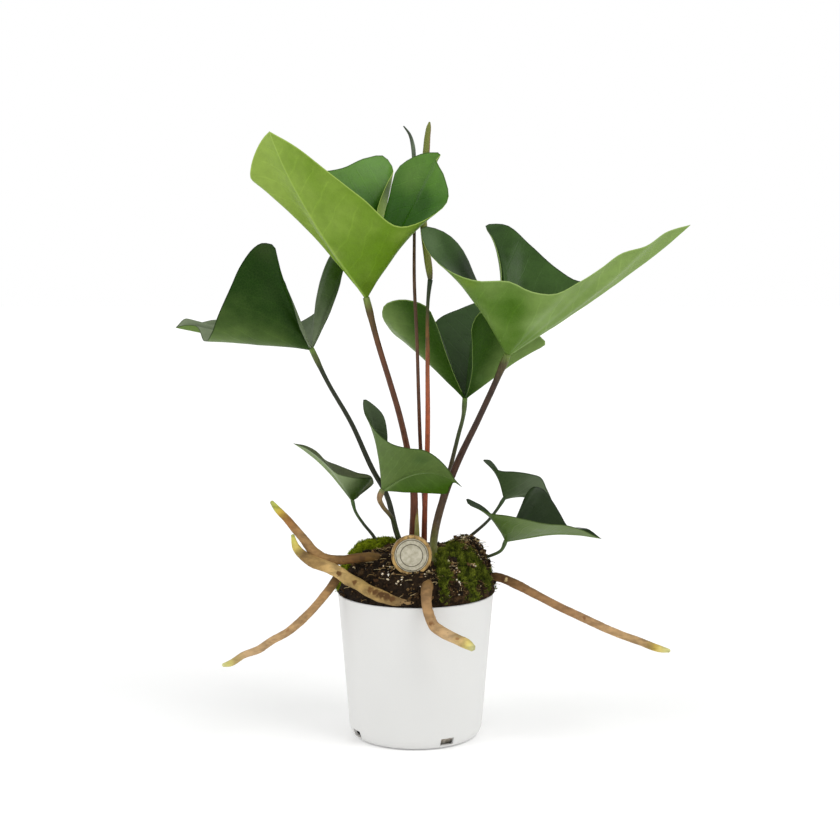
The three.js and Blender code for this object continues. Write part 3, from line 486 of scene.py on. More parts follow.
ROOTS["right"] = Root(
    line=[
        (46, 0, 120, 3.4), (63, -8, 124.5, 3.4), (75, -14, 121, 3.6), (90, -18, 114, 3.2),
        (110, -21, 104, 3.1), (130, -24, 95, 3.1), (151, -27, 86, 3), (171, -30, 79, 2.9),
        (186, -32, 74, 2.5), (192, -33, 73, 1.4),
    ],
    skin=[
        (0, (96, 70, 38)), (0.16, (114, 82, 46)), (0.3, (146, 110, 72)), (0.5, (162, 124, 84)),
        (0.7, (180, 146, 104)), (0.88, (180, 148, 102)), (0.93, (192, 164, 78)), (1, (208, 206, 140)),
    ],
    marks=[
        (69.5, -15, 123.5, 2.0, (204, 178, 126)), (66.5, -13, 124.5, 2.0, (84, 56, 28)),
        (128, -27, 97, 2.0, (126, 88, 54)),
    ],
)


def linear(rgb):
    """Linear colour with alpha from 8-bit channels."""
    values = [channel / 255 for channel in rgb]
    return tuple(v / 12.92 if v <= 0.04045 else ((v + 0.055) / 1.055) ** 2.4 for v in values) + (1.0,)


# Node graphs
class Wire:
    """One output of a node. Arithmetic on it adds math nodes."""

    def __init__(self, look, socket):
        self.look = look
        self.socket = socket

    def __add__(self, other):
        return self.look.math("ADD", self, other)

    def __sub__(self, other):
        return self.look.math("SUBTRACT", self, other)

    def __mul__(self, other):
        return self.look.math("MULTIPLY", self, other)

    def __truediv__(self, other):
        return self.look.math("DIVIDE", self, other)

    def __abs__(self):
        return self.look.math("ABSOLUTE", self)


class Look:
    """One material's node graph, with short calls that add a node and give its output."""

    def __init__(self, name, **values):
        self.material = bpy.data.materials.new(name)
        self.material.use_nodes = True
        self.tree = self.material.node_tree
        self.place = self.node("TexCoord", {}, "Object")
        self.set(**values)

    def set(self, **values):
        """Sets or links the shader's own inputs."""
        shader = self.tree.nodes["Principled BSDF"]
        for name, value in values.items():
            self.feed(shader.inputs[name.replace("_", " ")], value)

    def feed(self, socket, value):
        """Links a wire or sets a value. A colour of three numbers has 8 bits a channel."""
        if isinstance(value, Wire):
            self.tree.links.new(value.socket, socket)
        elif socket.type == "RGBA" and len(value) == 3:
            socket.default_value = linear(value)
        else:
            socket.default_value = value

    def node(self, kind, inputs, output=0, **settings):
        """Adds a node, sets or links its inputs by name or number, and gives one output."""
        node = self.tree.nodes.new("ShaderNode" + kind)
        for key, value in settings.items():
            setattr(node, key, value)
        for key, value in inputs.items():
            self.feed(node.inputs[key], value)
        return Wire(self, node.outputs[output])

    def math(self, operation, *values):
        return self.node("Math", dict(enumerate(values)), operation=operation)

    def mix(self, factor, first, second):
        return self.node("Mix", {0: factor, 6: first, 7: second}, 2, data_type="RGBA")

    def span(self, value, low, high, to_low=0.0, to_high=1.0):
        inputs = dict(enumerate((value, low, high, to_low, to_high)))
        return self.node("MapRange", inputs, interpolation_type="SMOOTHSTEP")

    def noise(self, scale, detail=3.0, roughness=0.5, place=None, distortion=0.0):
        inputs = {"Vector": place or self.place, "Scale": scale, "Detail": detail,
                  "Roughness": roughness, "Distortion": distortion}
        return self.node("TexNoise", inputs)

    def wander(self, scale, detail, amount):
        return (self.noise(scale, detail) - 0.5) * amount

    def cells(self, scale, feature="F1"):
        return self.node("TexVoronoi", {"Vector": self.place, "Scale": scale}, "Distance", feature=feature)

    def stretched(self, factors):
        return self.node("VectorMath", {0: self.place, 1: factors}, operation="MULTIPLY")

    def part(self, vector, axis):
        return self.node("SeparateXYZ", {0: vector}, axis)

    def ramp(self, value, stops, interpolation="LINEAR"):
        wire = self.node("ValToRGB", {0: value})
        ramp = wire.socket.node.color_ramp
        ramp.interpolation = interpolation
        while len(ramp.elements) < len(stops):
            ramp.elements.new(0.5)
        for element, (position, rgb) in zip(ramp.elements, stops):
            element.position = position
            element.color = linear(rgb)
        return wire

    def scaled(self, colour, factor):
        return self.node("VectorMath", {0: colour, "Scale": factor}, operation="SCALE")

    def near(self, x, y, z, radius, wander):
        """1 at a place given in millimetres, falling to 0 at about the radius."""
        inputs = {0: self.place, 1: (x * MM, y * MM, z * MM)}
        distance = self.node("VectorMath", inputs, "Value", operation="DISTANCE") + wander
        return self.span(distance, radius * MM * 0.5, radius * MM * 1.1, 1.0, 0.0)

    def value(self, name):
        return self.node("Attribute", {}, "Fac", attribute_name=name)

    def bump(self, height, distance):
        self.set(Normal=self.node("Bump", {"Distance": distance, "Height": height}))


# Mesh helpers
def new_piece(name, points, faces, node, slot, looks, smooth=True, **values):
    """Mesh in millimetres turned to metres, riding on the root in place of its node.
    Each of the values is one number per point, for the materials to read."""
    mesh = bpy.data.meshes.new(name)
    mesh.from_pydata((np.asarray(points, float) * MM).tolist(), [], faces)
    mesh.update()
    if smooth:
        mesh.shade_smooth()
    for look in looks:
        mesh.materials.append(look.material)
    for label, numbers in values.items():
        layer = mesh.attributes.new(label, "FLOAT", "POINT")
        layer.data.foreach_set("value", np.asarray(numbers, dtype=np.float32))
    piece = bpy.data.objects.new(name, mesh)
    bpy.context.scene.collection.objects.link(piece)
    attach(piece, "root")
    if node:
        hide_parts(node)
    return piece


def joined(parts):
    """One list of points and one of faces from several."""
    points, faces, count = [], [], 0
    for part_points, part_faces in parts:
        points.append(part_points)
        faces += [tuple(v + count for v in face) for face in part_faces]
        count += len(part_points)
    return np.concatenate(points), faces


def chords(keys):
    """Distance along the keys from the first to each."""
    steps = np.linalg.norm(np.diff(keys[:, :3], axis=0), axis=1)
    return np.concatenate([[0.0], np.cumsum(steps)])


def smooth_line(keys, at):
    """Values at the distances asked for, on a smooth curve through the keys."""
    knots = chords(keys)
    slopes = np.gradient(keys, knots, axis=0, edge_order=1)
    index = np.clip(np.searchsorted(knots, at, side="right") - 1, 0, len(knots) - 2)
    width = (knots[index + 1] - knots[index])[:, None]
    t = (at - knots[index])[:, None] / width
    into, out_of = slopes[index] * width, slopes[index + 1] * width
    return (
        keys[index] * (2 * t**3 - 3 * t**2 + 1) + into * (t**3 - 2 * t**2 + t)
        + keys[index + 1] * (3 * t**2 - 2 * t**3) + out_of * (t**3 - t**2)
    )


def unit(vectors):
    return vectors / np.maximum(np.linalg.norm(vectors, axis=-1, keepdims=True), 1e-9)


def ring_faces(rings, sides, start=0):
    faces = []
    for ring in range(rings - 1):
        for side in range(sides):
            a = start + ring * sides + side
            b = start + ring * sides + (side + 1) % sides
            faces.append((a, b, b + sides, a + sides))
    return faces


def closed_faces(rings, sides):
    """Rings closed by two more points, one for each end, that follow them in the list."""
    faces = ring_faces(rings, sides)
    first, last = rings * sides, rings * sides + 1
    end = (rings - 1) * sides
    for side in range(sides):
        after = (side + 1) % sides
        faces.append((first, after, side))
        faces.append((last, end + side, end + after))
    return faces


def circle(radius, height, sides):
    turns = [index / sides * math.tau for index in range(sides)]
    return [(radius * math.cos(turn), radius * math.sin(turn), height) for turn in turns]


def lathe_mesh(profile, sides):
    """Closed surface of revolution round Z from (radius, height) points, with both ends on the axis."""
    points = [point for radius, height in profile[1:-1] for point in circle(radius, height, sides)]
    points += [(0, 0, profile[0][1]), (0, 0, profile[-1][1])]
    return np.array(points), closed_faces(len(profile) - 2, sides)


def tube_mesh(line, sides, spacing, swell):
    """Round bar along a smooth line of (x, y, z, radius). swell(share, angle, point) scales a radius."""
    keys = np.array(line, float)
    length = chords(keys)[-1]
    rings = max(int(length / spacing), 8) + 1
    at = np.linspace(0, length, rings)
    path = smooth_line(keys, at)
    centres, radii = path[:, :3], path[:, 3]
    ahead = unit(np.gradient(centres, axis=0))
    across = np.array([1.0, 0.0, 0.0])
    points = []
    for ring in range(rings):
        side = unit(np.cross(ahead[ring], across))
        across = unit(np.cross(side, ahead[ring]))
        for angle in np.arange(sides) / sides * math.tau:
            away = (across * math.cos(angle) + side * math.sin(angle)) * radii[ring]
            points.append(centres[ring] + away * swell(at[ring] / length, angle, centres[ring] + away))
    points += [centres[0] - ahead[0] * radii[0] * 0.4, centres[-1] + ahead[-1] * radii[-1] * 0.6]
    along = np.concatenate([np.repeat(at / length, sides), [0.0, 1.0]])
    return np.array(points), closed_faces(rings, sides), along


def plain(share, angle, point):
    """Leaves a tube's radius as it is."""
    return 1


def slab(under, upper):
    """Closed slab between two grids of points, with the points of the under one first."""
    count, rows = under.shape[:2]
    layer = count * rows
    faces = []

    def wall(a, b):
        faces.append((a, b, layer + b, layer + a))

    for i in range(count - 1):
        for j in range(rows - 1):
            a = i * rows + j
            faces.append((a, a + rows, a + rows + 1, a + 1))
            faces.append((layer + a, layer + a + 1, layer + a + rows + 1, layer + a + rows))
        wall((i + 1) * rows - 1, (i + 2) * rows - 1)
        wall((i + 1) * rows, i * rows)
    for j in range(rows - 1):
        wall(j, j + 1)
        wall(layer - rows + j + 1, layer - rows + j)
    return np.concatenate([under.reshape(-1, 3), upper.reshape(-1, 3)]), faces


def grid_normals(grid):
    return unit(np.cross(np.gradient(grid, axis=1), np.gradient(grid, axis=0)))


def bumpiness(point, size, octaves=3):
    """Smooth noise from -1 to 1 whose lumps are about that size in millimetres."""
    return noise.fractal(Vector(point) / size, 0.6, 2.0, octaves)


# Leaf blades
def margin_columns(leaf):
    """Margin points (x, y, z, bow) from the right notch over the tip to the left notch."""
    halves = []
    for side in (leaf.right, leaf.left):
        keys = np.array([(*key, 0.0)[:4] for key in (*side, leaf.tip)][::-1])
        halves.append(smooth_line(keys, np.linspace(0, 1, BLADE_COLUMNS + 1) ** 1.5 * chords(keys)[-1]))
    right, left = halves
    return np.concatenate([right[::-1], left[1:]])


def blade_rows(lengths, start):
    """Shares of the way out along each ray, closer together near the margin."""
    inner = np.linspace(0, 1, BLADE_ROWS) ** 0.9
    shares = []
    for length in lengths:
        first = min(start / length, 0.5)
        rows = first + (max(1 - 1.5 / length, 0.55) - first) * inner
        shares.append([*rows, max(1 - 0.5 / length, 0.8), 1.0])
    return np.array(shares)


def blade_grid(leaf):
    """Rays fanned out from the stalk's end: points, flattened x and y, and the way to the margin."""
    columns = margin_columns(leaf)
    rays, bows = columns[:, :3], columns[:, 3]
    lengths = np.linalg.norm(rays, axis=1)
    along = rays / lengths[:, None]
    axis = unit(np.sum([key[:3] for key in (*leaf.right, *leaf.left, leaf.tip)], axis=0))
    outward = unit((along @ axis)[:, None] * along - axis)
    shares = blade_rows(lengths, leaf.knuckle * 0.3)
    sag = (bows * lengths)[:, None] * 4 * shares * (1 - shares) * (1 + BLADE_SKEW * (2 * shares - 1))
    points = rays[:, None, :] * shares[:, :, None] + outward[:, None, :] * sag[:, :, None]
    turns = np.arccos(np.clip((along[1:] * along[:-1]).sum(axis=1), -1, 1))
    angles = np.concatenate([[0.0], np.cumsum(turns)])
    angles -= angles[BLADE_COLUMNS]
    reach = shares * lengths[:, None]
    flat_x, flat_y = reach * np.cos(angles)[:, None], reach * np.sin(angles)[:, None]
    return points + leaf.stalk[-1][:3], flat_x, flat_y, (1 - shares) * lengths[:, None]


def blade(name, leaf):
    middle, flat_x, flat_y, rim = blade_grid(leaf)
    normals = grid_normals(middle)
    tip_length = np.linalg.norm(leaf.tip[:3])
    waves = WAVE_HEIGHT * np.array([[bumpiness(point, WAVE_SIZE, 2) for point in row] for row in middle])
    middle += normals * (waves * np.clip(np.hypot(flat_x, flat_y) / 12.0, 0, 1))[:, :, None]
    fade = np.clip(1 - flat_x / tip_length, 0, 1)
    midrib = np.exp(-((flat_y / (0.35 + 0.75 * fade)) ** 2)) * (flat_x > 0) * (0.15 + 0.85 * fade)
    rib = MIDRIB_RISE * midrib * np.clip(rim / 4.0, 0, 1)
    half = BLADE_EDGE_HALF + (BLADE_HALF - BLADE_EDGE_HALF) * np.clip(rim / 2.0, 0, 1)
    under = middle - normals * (half + rib)[:, :, None]
    upper = middle + normals * (half - 0.25 * rib)[:, :, None]
    points, faces = slab(under, upper)
    looks = [blade_look(name + "_under", leaf.under, tip_length, False),
             blade_look(name + "_upper", leaf.upper, tip_length, True)]
    maps = {"flat_x": flat_x, "flat_y": flat_y, "rim": rim}
    maps = {label: np.tile(grid.reshape(-1) * MM, 2) for label, grid in maps.items()}
    piece = new_piece(name + "_blade", points, faces, name, "leaf", looks, **maps)
    is_upper = [int(min(face) >= len(points) // 2) for face in faces]
    piece.data.polygons.foreach_set("material_index", is_upper)


def blade_tone(look, tone, flat_x, flat_y):
    """Colour of one side of a blade: a slow change over it and a few soft spots, both partly the leaf's own
    colour and partly painted light and shade.
    """
    def distance(x, y):
        return look.math("SQRT", x * x + y * y)

    share = (look.noise(24, 3, 0.55) - 0.5) * 1.1 + tone.level
    for value, slope in zip((flat_x, flat_y, distance(flat_x, flat_y)), tone.slope):
        share += value * (slope * 10)
    colour = look.mix(look.span(share, 0.0, 1.0), tone.deep, tone.light)
    wander = look.wander(40, 3, 0.02)
    # Soft spots: among them painted sheen, painted highlights and painted shade.
    for x, y, radius, rgb in tone.spots:
        away = distance(flat_x - x * MM, flat_y - y * MM) + wander
        colour = look.mix(look.span(away, 0.0, radius * MM, 0.9, 0.0), colour, rgb)
    return colour


def blade_look(name, tone, length, is_upper):
    """Leaf skin: tone with painted light and shade, faint side veins, a pale midrib, a thin margin and a fine
    grain.
    """
    look = Look(name, Specular_IOR_Level=0.15 if is_upper else 0.09)
    flat_x, flat_y, rim = look.value("flat_x"), look.value("flat_y"), look.value("rim")
    aside = abs(flat_y)
    order = flat_x - (aside * 0.62 + aside * aside * 3.4) + look.wander(45, 2, 0.012)
    gap = max(length / SIDE_VEINS, LEAST_VEIN_GAP) * MM
    off_line = abs(look.math("FRACT", order / gap) - 0.5) * gap
    laterals = look.span(off_line, 0.0001, 0.0012, 1.0, 0.0) * look.span(rim, 0.002, 0.012)
    middle_width = look.span(flat_x / (length * MM), 0.0, 1.0, 0.0011, 0.0005)
    midrib = look.span(aside / middle_width, 0.4, 1.5, 1.0, 0.0) * look.span(flat_x, -0.001, 0.001)
    net = look.span(look.cells(520, "DISTANCE_TO_EDGE"), 0.0, 0.14, 1.0, 0.0)
    mottle = look.noise(130, 4, 0.65)
    colour = look.scaled(blade_tone(look, tone, flat_x, flat_y), look.span(mottle, 0.3, 0.7, 0.93, 1.07))
    vein_colour = tuple(min(c * 1.3 + 0.02, 1) for c in linear(tone.light))
    colour = look.mix(net * 0.05, colour, vein_colour)
    colour = look.scaled(colour, laterals * 0.1 + 1.0)
    colour = look.mix(midrib * tone.midrib, colour, vein_colour)
    # Thin margin line: a given colour is pale; without one it is dark, painted shade along the blade's edge.
    margin = tone.margin or tuple(c * 0.4 for c in linear(tone.deep))
    colour = look.mix(look.span(rim, 0.0003, 0.0013, 0.7, 0.0), colour, margin)
    gloss = (0.26, 0.36) if is_upper else (0.36, 0.48)
    look.set(Base_Color=colour, Roughness=look.span(mottle, 0.25, 0.75, *gloss))
    look.bump(laterals * (-0.25 if is_upper else 0.25) + net * 0.1 + look.noise(900, 2) * 0.1, 0.0003)
    return look


# Stalks, young leaf, flower and sheath
def skin(node, slot, line, sides, spacing, stops, swell=plain, roughness=0.42):
    """Smooth tube whose colour changes along it, with fine lengthwise streaks."""
    look = Look(node + "_look", Specular_IOR_Level=0.3)
    streaks = look.noise(900, 3, 0.6, look.stretched((1, 1, 0.05)))
    blotches = look.noise(160, 3, 0.6)
    darker = look.span(streaks + blotches, 0.75, 1.25, 0.72, 1.22)
    look.set(Base_Color=look.scaled(look.ramp(look.value("along"), stops, "EASE"), darker),
             Roughness=look.span(blotches, 0.3, 0.7, roughness - 0.08, roughness + 0.1))
    look.bump(streaks, 0.0002)
    points, faces, along = tube_mesh(line, sides, spacing, swell)
    new_piece(node + "_skin", points, faces, node, slot, [look], along=along)


def stalk(name, leaf):
    """Leaf stalk that swells a little into a knee under its blade."""
    def swell(share, angle, point):
        knee = 1 + 0.16 * math.exp(-(((share - 0.955) / 0.03) ** 2))
        return knee * (1 + 0.02 * bumpiness(point, 6.0, 2))

    keys = np.array(leaf.stalk, float)
    keys[-1, :3] += unit(keys[-1, :3] - keys[-2, :3]) * leaf.knuckle * 0.25
    keys[-1, 3] *= 1.05
    skin(name, "stalk", keys, STALK_SIDES, STALK_SPACING, leaf.skin, swell)


def young_leaf():
    """Stalk with a rolled blade at its top: the tube swells there, more on one side."""
    def swell(share, angle, point):
        roll = max(0.0, min(1.0, (share - 0.86) / 0.03)) * max(0.0, min(1.0, (1.0 - share) / 0.05))
        return 1 + roll * (0.28 * math.cos(angle - 2.2) + 0.22)

    stops = [(0.0, (60, 40, 22)), (0.25, (92, 52, 30)), (0.45, (88, 56, 36)), (0.7, (86, 62, 40)),
             (0.84, (84, 74, 50)), (0.88, (74, 86, 62)), (0.95, (92, 104, 84)), (1.0, (58, 70, 52))]
    skin("young_leaf", "stalk", YOUNG_LEAF, 24, 1.2, stops, swell)


def flower_stalk():
    stops = [(0.0, (96, 48, 28)), (0.3, (146, 72, 42)), (0.55, (164, 84, 50)), (0.7, (148, 82, 50)),
             (0.82, (110, 76, 38)), (0.93, (52, 64, 30)), (1.0, (34, 52, 26))]
    skin("flower_stalk", "flower_stalk", FLOWER_STALK, STALK_SIDES, STALK_SPACING, stops)


def spadix():
    """Spike covered in rows of small flowers, with a reddish blush on the side that faces right."""
    def pebbles(share, angle, point):
        fade = min(1.0, (1 - share) / 0.03, share / 0.02)
        row = share * SPADIX_LENGTH / SPADIX_ROW
        turn = angle / math.tau * FLOWERS_ROUND + 0.5 * (int(row) % 2)
        across = abs((turn % 1.0) - 0.5) * 2
        up = abs((row % 1.0) - 0.5) * 2
        return 1 + 0.05 * fade * (1 - across**2) * (1 - up**2) - 0.02

    points, faces, along = tube_mesh(SPADIX, SPADIX_SIDES, SPADIX_SPACING, pebbles)
    look = Look("spadix_look", Roughness=0.55)
    right = look.part(look.node("NewGeometry", {}, "Normal"), "X")
    blush = look.span(right + look.noise(140, 3) * 0.5, 0.95, 1.3)
    grain = look.span(look.cells(900), 0.1, 0.6, 1.0, 0.0)
    body = look.mix(look.span(look.value("along"), 0.0, 0.06), (56, 58, 22), (106, 114, 34))
    body = look.mix(blush, body, (120, 62, 36))
    look.set(Base_Color=look.mix(grain * 0.3, body, (150, 150, 74)))
    look.bump(grain, 0.0002)
    new_piece("spadix_spike", points, faces, "spadix", "spadix", [look], along=along)


def sheath():
    def folds(share, angle, point):
        return 1 + 0.06 * math.sin(angle * 5) * (1 - share)

    stops = [(0.0, (84, 74, 40)), (0.5, (122, 122, 62)), (0.8, (134, 128, 70)), (1.0, (96, 70, 40))]
    skin("stem_sheath", "sheath", SHEATH, 28, 0.8, stops, folds, 0.6)


# Roots
def root_look(name, root):
    """Corky root skin: colour along the root, soft blotches, fine lengthwise streaks, pits and scars."""
    look = Look(name, Roughness=0.75, Specular_IOR_Level=0.25)
    streak = look.noise(230, 3, 0.6, look.stretched((0.35, 1, 1)))
    blotch = look.span(look.noise(95, 4, 0.6), 0.32, 0.68, 0.73, 1.04)
    shade = blotch + look.span(streak, 0.35, 0.65, -0.18, 0.16)
    colour = look.scaled(look.ramp(look.value("along"), root.skin), shade)
    pits = look.span(look.cells(250), 0.08, 0.17, 1.0, 0.0) * look.span(look.noise(90, 2), 0.54, 0.62)
    colour = look.mix(pits * 0.65, colour, (84, 56, 30))
    wander = look.wander(420, 3, 0.005)
    for x, y, z, radius, rgb in root.marks:
        colour = look.mix(look.near(x, y, z, radius, wander) * 0.95, colour, rgb)
    look.set(Base_Color=colour)
    look.bump(streak * 0.6 + pits * -0.8, 0.0006)
    return look


def root_piece(name, root):
    """Each root is one mesh; along runs 0 to 1, shared out evenly over the root's lines."""
    def swell(share, angle, point):
        lumps = 0.055 * bumpiness(point, 8.0, 3) + 0.025 * bumpiness(point, 1.8, 2)
        return 1 + lumps * (1 - 0.7 * max(0.0, (share - 0.9) / 0.1))

    lines = [line for line in (root.line, root.fork) if line]
    tubes = [tube_mesh(line, ROOT_SIDES, ROOT_SPACING, swell) for line in lines]
    points, faces = joined(tube[:2] for tube in tubes)
    along = np.concatenate([(order + tube[2]) / len(lines) for order, tube in enumerate(tubes)])
    new_piece(name + "_cork", points, faces, name, "root", [root_look(name + "_look", root)], along=along)


# Pot
def pot():
    slope = (POT_TOP_RADIUS - POT_CORNER_RADIUS) / (POT_HEIGHT - POT_CORNER_HEIGHT)

    def outer(height):
        return POT_CORNER_RADIUS + slope * (height - POT_CORNER_HEIGHT)

    inside = POT_TOP_RADIUS - POT_WALL
    profile = [(0, 1.2), (30, 1.2), (33, 0.9), (36, 0.1)]
    profile += [(POT_FOOT_RADIUS + out, height) for out, height in POT_ROUNDING]
    profile += [(outer(height), height) for height in (8.2, 12, *range(16, 110, 6))]
    profile += [(outer(110.4) + 0.1, 110.4), (outer(111.4) + 0.05, 111.5), (POT_TOP_RADIUS - 0.4, POT_HEIGHT)]
    profile += [(inside + 0.3, POT_HEIGHT), (inside, 111.5)]
    profile += [(outer(height) - POT_WALL, height) for height in range(108, 8, -10)]
    profile += [(POT_FOOT_RADIUS + 3.6, 5.0), (POT_FOOT_RADIUS + 1.0, POT_FLOOR), (0, POT_FLOOR)]
    points, faces = lathe_mesh(profile, POT_SIDES)
    look = Look("pot_plastic", IOR=1.46)
    scuffs = look.noise(30, 6, 0.7, look.stretched((1, 1, 0.3)), 0.6)
    haze = look.span(look.noise(7, 2), 0.3, 0.7)
    look.set(Base_Color=look.mix(haze, (219, 219, 217), (214, 214, 212)),
             Roughness=look.span(scuffs, 0.35, 0.65, 0.33, 0.46))
    look.bump(look.noise(700, 2), 0.00004)
    cut_slots(new_piece("pot_shell", points, faces, "pot", "pot", [look]))


def cut_slots(shell):
    """Cuts the drain slots through the wall near the foot."""
    cutters = []
    for angle in SLOT_ANGLES:
        bpy.ops.mesh.primitive_cube_add(size=1)
        cutter = bpy.context.object
        cutter.scale = (SLOT_CUT * MM, SLOT_WIDTH * MM, SLOT_HEIGHT * MM)
        reach = (POT_FOOT_RADIUS + SLOT_CUT / 2) * MM
        turn = math.radians(angle)
        cutter.location = (reach * math.cos(turn), reach * math.sin(turn), (SLOT_LIFT + SLOT_HEIGHT / 2) * MM)
        cutter.rotation_euler = (0, 0, turn)
        modifier = shell.modifiers.new("slot", "BOOLEAN")
        modifier.object = cutter
        modifier.operation = "DIFFERENCE"
        cutters.append(cutter)
    bpy.context.view_layer.update()
    cut = bpy.data.meshes.new_from_object(shell.evaluated_get(bpy.context.evaluated_depsgraph_get()))
    shell.modifiers.clear()
    shell.data = cut
    for cutter in cutters:
        bpy.data.objects.remove(cutter)
    cut.shade_smooth()
    cut.set_sharp_from_angle(angle=math.radians(32))


# Soil
def mound_point(angle, share):
    """Point on the soil at an angle, a share of the way out from the middle."""
    from_back = abs((angle + 270) % 360 - 180)
    t = min(max((180 - from_back - 20) / 65, 0.0), 1.0)
    front = 1 - t * t * (3 - 2 * t)
    reach = MOUND_SIDE_RADIUS + (MOUND_FRONT_RADIUS - MOUND_SIDE_RADIUS) * front
    x = reach * share * math.cos(math.radians(angle))
    y = reach * share * math.sin(math.radians(angle))
    fall = 1 - share ** (MOUND_BACK_SLOPE + (MOUND_FRONT_SLOPE - MOUND_BACK_SLOPE) * front)
    away = (x - CLOD_PLACE[0]) ** 2 + (y - CLOD_PLACE[1]) ** 2
    clod = CLOD_RISE * math.exp(-away / (2 * CLOD_SPREAD**2)) * math.sqrt(max(fall, 0.0))
    lumps = 1.1 * math.sin(x * 0.31 + y * 0.17) * math.cos(y * 0.29 - x * 0.11)
    return np.array([x, y, MOUND_FOOT + fall * (MOUND_RISE + lumps) + clod])


def soil():
    """Mound of dark bark mix, with paler grit at the very bottom, where the slots show it, made pale enough
    to be painted light inside the shaded pot.
    """
    rings = [circle(radius, height, SOIL_SIDES) for radius, height in SOIL_WALL]
    for share in (1.0, 0.985, 0.965, *np.linspace(0.94, 0.04, SOIL_RINGS)):
        ring = [mound_point(index / SOIL_SIDES * 360, share) for index in range(SOIL_SIDES)]
        for point in ring:
            rough = 1.3 * bumpiness(point, 7.0, 3) + 0.7 * bumpiness(point, 2.2, 2)
            point[2] += rough * min(1.0, (1 - share) * 9)
        rings.append(ring)
    points = np.concatenate([*rings, [[0, 0, SOIL_FOOT]], [mound_point(0, 0.0)]])
    look = Look("soil_mix", Roughness=0.95, Specular_IOR_Level=0.15)
    coarse = look.noise(180, 5, 0.7)
    fine = look.noise(700, 4, 0.75)
    colour = look.mix(look.span(coarse, 0.35, 0.65), (20, 14, 8), (50, 36, 22))
    colour = look.mix(look.span(fine, 0.6, 0.75, 0, 0.6), colour, (84, 62, 38))
    # Pale grit at the very bottom, lightened to stand in as painted light where the slots look into the
    # shaded pot.
    low = look.span(look.part(look.place, "Z"), 0.010, 0.013, 1.0, 0.0)
    grit_and_painted_light = look.mix(look.span(coarse, 0.4, 0.6), (176, 164, 148), (236, 230, 220))
    look.set(Base_Color=look.mix(low, colour, grit_and_painted_light))
    look.bump(coarse + fine, 0.002)
    new_piece("soil_body", points, closed_faces(len(rings), SOIL_SIDES), "soil", "soil", [look])


def ball_template():
    """Points and faces of a small unit ball of triangles."""
    bpy.ops.mesh.primitive_ico_sphere_add(subdivisions=1, radius=1)
    ball = bpy.context.object
    points = np.array([v.co[:] for v in ball.data.vertices])
    faces = [tuple(p.vertices) for p in ball.data.polygons]
    bpy.data.objects.remove(ball)
    return points, faces


def random_turn(rng):
    turn = np.linalg.qr(rng.normal(size=(3, 3)))[0]
    return turn if np.linalg.det(turn) > 0 else -turn


def bits(name, look, places, sizes, shape, seed, jag=0.25):
    """Many small lumps as one mesh, each turned, stretched and dented in its own way."""
    rng = np.random.default_rng(seed)
    template, template_faces = ball_template()
    lumps, tints = [], []
    for place, size in zip(places, sizes):
        dents = 1 + rng.uniform(-jag, jag, size=(len(template), 1))
        stretch = np.array(shape) * rng.uniform(0.7, 1.3, size=3)
        body = (template * dents * stretch * size) @ random_turn(rng).T + place
        lumps.append((body, template_faces))
        tints += [rng.random()] * len(template)
    points, faces = joined(lumps)
    new_piece(name, points, faces, None, "soil", [look], smooth=False, tint=tints)


def in_moss(angle, share):
    for patch in MOSS_PATCHES.values():
        if (angle - patch.start) % 360 < patch.end - patch.start and share > patch.inner - 0.02:
            return True
    return False


def soil_places(rng):
    """Random points on the soil that moss doesn't cover."""
    places = []
    while len(places) < SOIL_PLACES:
        angle = rng.uniform(0, 360)
        share = math.sqrt(rng.uniform(SOIL_INNER**2, 1.0))
        if not in_moss(angle, share):
            places.append(mound_point(angle, min(share, 0.995)) + (0, 0, 0.4))
    return places


def tint_look(name, stops, roughness=0.9):
    """Grainy look whose colour each lump, fibre or leaflet picks by its tint."""
    look = Look(name, Roughness=roughness, Specular_IOR_Level=0.15)
    grain = look.noise(900, 4, 0.7)
    shade = look.span(grain, 0.3, 0.7, 0.7, 1.25)
    look.set(Base_Color=look.scaled(look.ramp(look.value("tint"), stops), shade))
    look.bump(grain, 0.0006)
    return look


def litter(bare):
    """Crumbs, bark, perlite and straw on the soil and on the places in the moss left bare."""
    rng = np.random.default_rng(11)
    ground = np.array(soil_places(rng) + bare)

    def scatter(count):
        picked = ground[rng.integers(0, len(ground), count)]
        return picked + rng.normal(0, 0.5, (count, 3)) * (1, 1, 0.3)

    stops = [(0, (18, 13, 7)), (0.5, (40, 29, 17)), (0.85, (78, 58, 34)), (1, (124, 98, 62))]
    places = scatter(CRUMBS)
    sizes = rng.gamma(2.0, 0.36, CRUMBS) + 0.3
    bits("soil_crumbs", tint_look("crumb_look", stops), places, sizes, (1.0, 0.8, 0.6), 12)

    stops = [(0, (34, 22, 12)), (0.6, (70, 48, 28)), (1, (136, 106, 68))]
    places = scatter(BARK_CHIPS)
    sizes = rng.uniform(*BARK_SIZES, BARK_CHIPS)
    bits("bark_chips", tint_look("bark_look", stops), places, sizes, (1.5, 0.7, 0.35), 13)

    stops = [(0, (170, 140, 96)), (0.4, (206, 188, 152)), (1, (240, 234, 220))]
    places = list(scatter(LOOSE_GRAINS))
    for x, y in PALE_CLUSTERS:
        close = ground[np.hypot(ground[:, 0] - x, ground[:, 1] - y) < PALE_REACH]
        if len(close):
            picked = close[rng.integers(0, len(close), PALE_GRAINS)]
            places += list(picked + rng.normal(0, 0.7, (PALE_GRAINS, 3)))
    sizes = rng.uniform(*GRAIN_SIZES, len(places))
    bits("perlite_grains", tint_look("perlite_look", stops, 0.7), places, sizes, (1.0, 0.8, 0.7), 14, 0.45)
    fibres(rng, scatter(FIBRES))


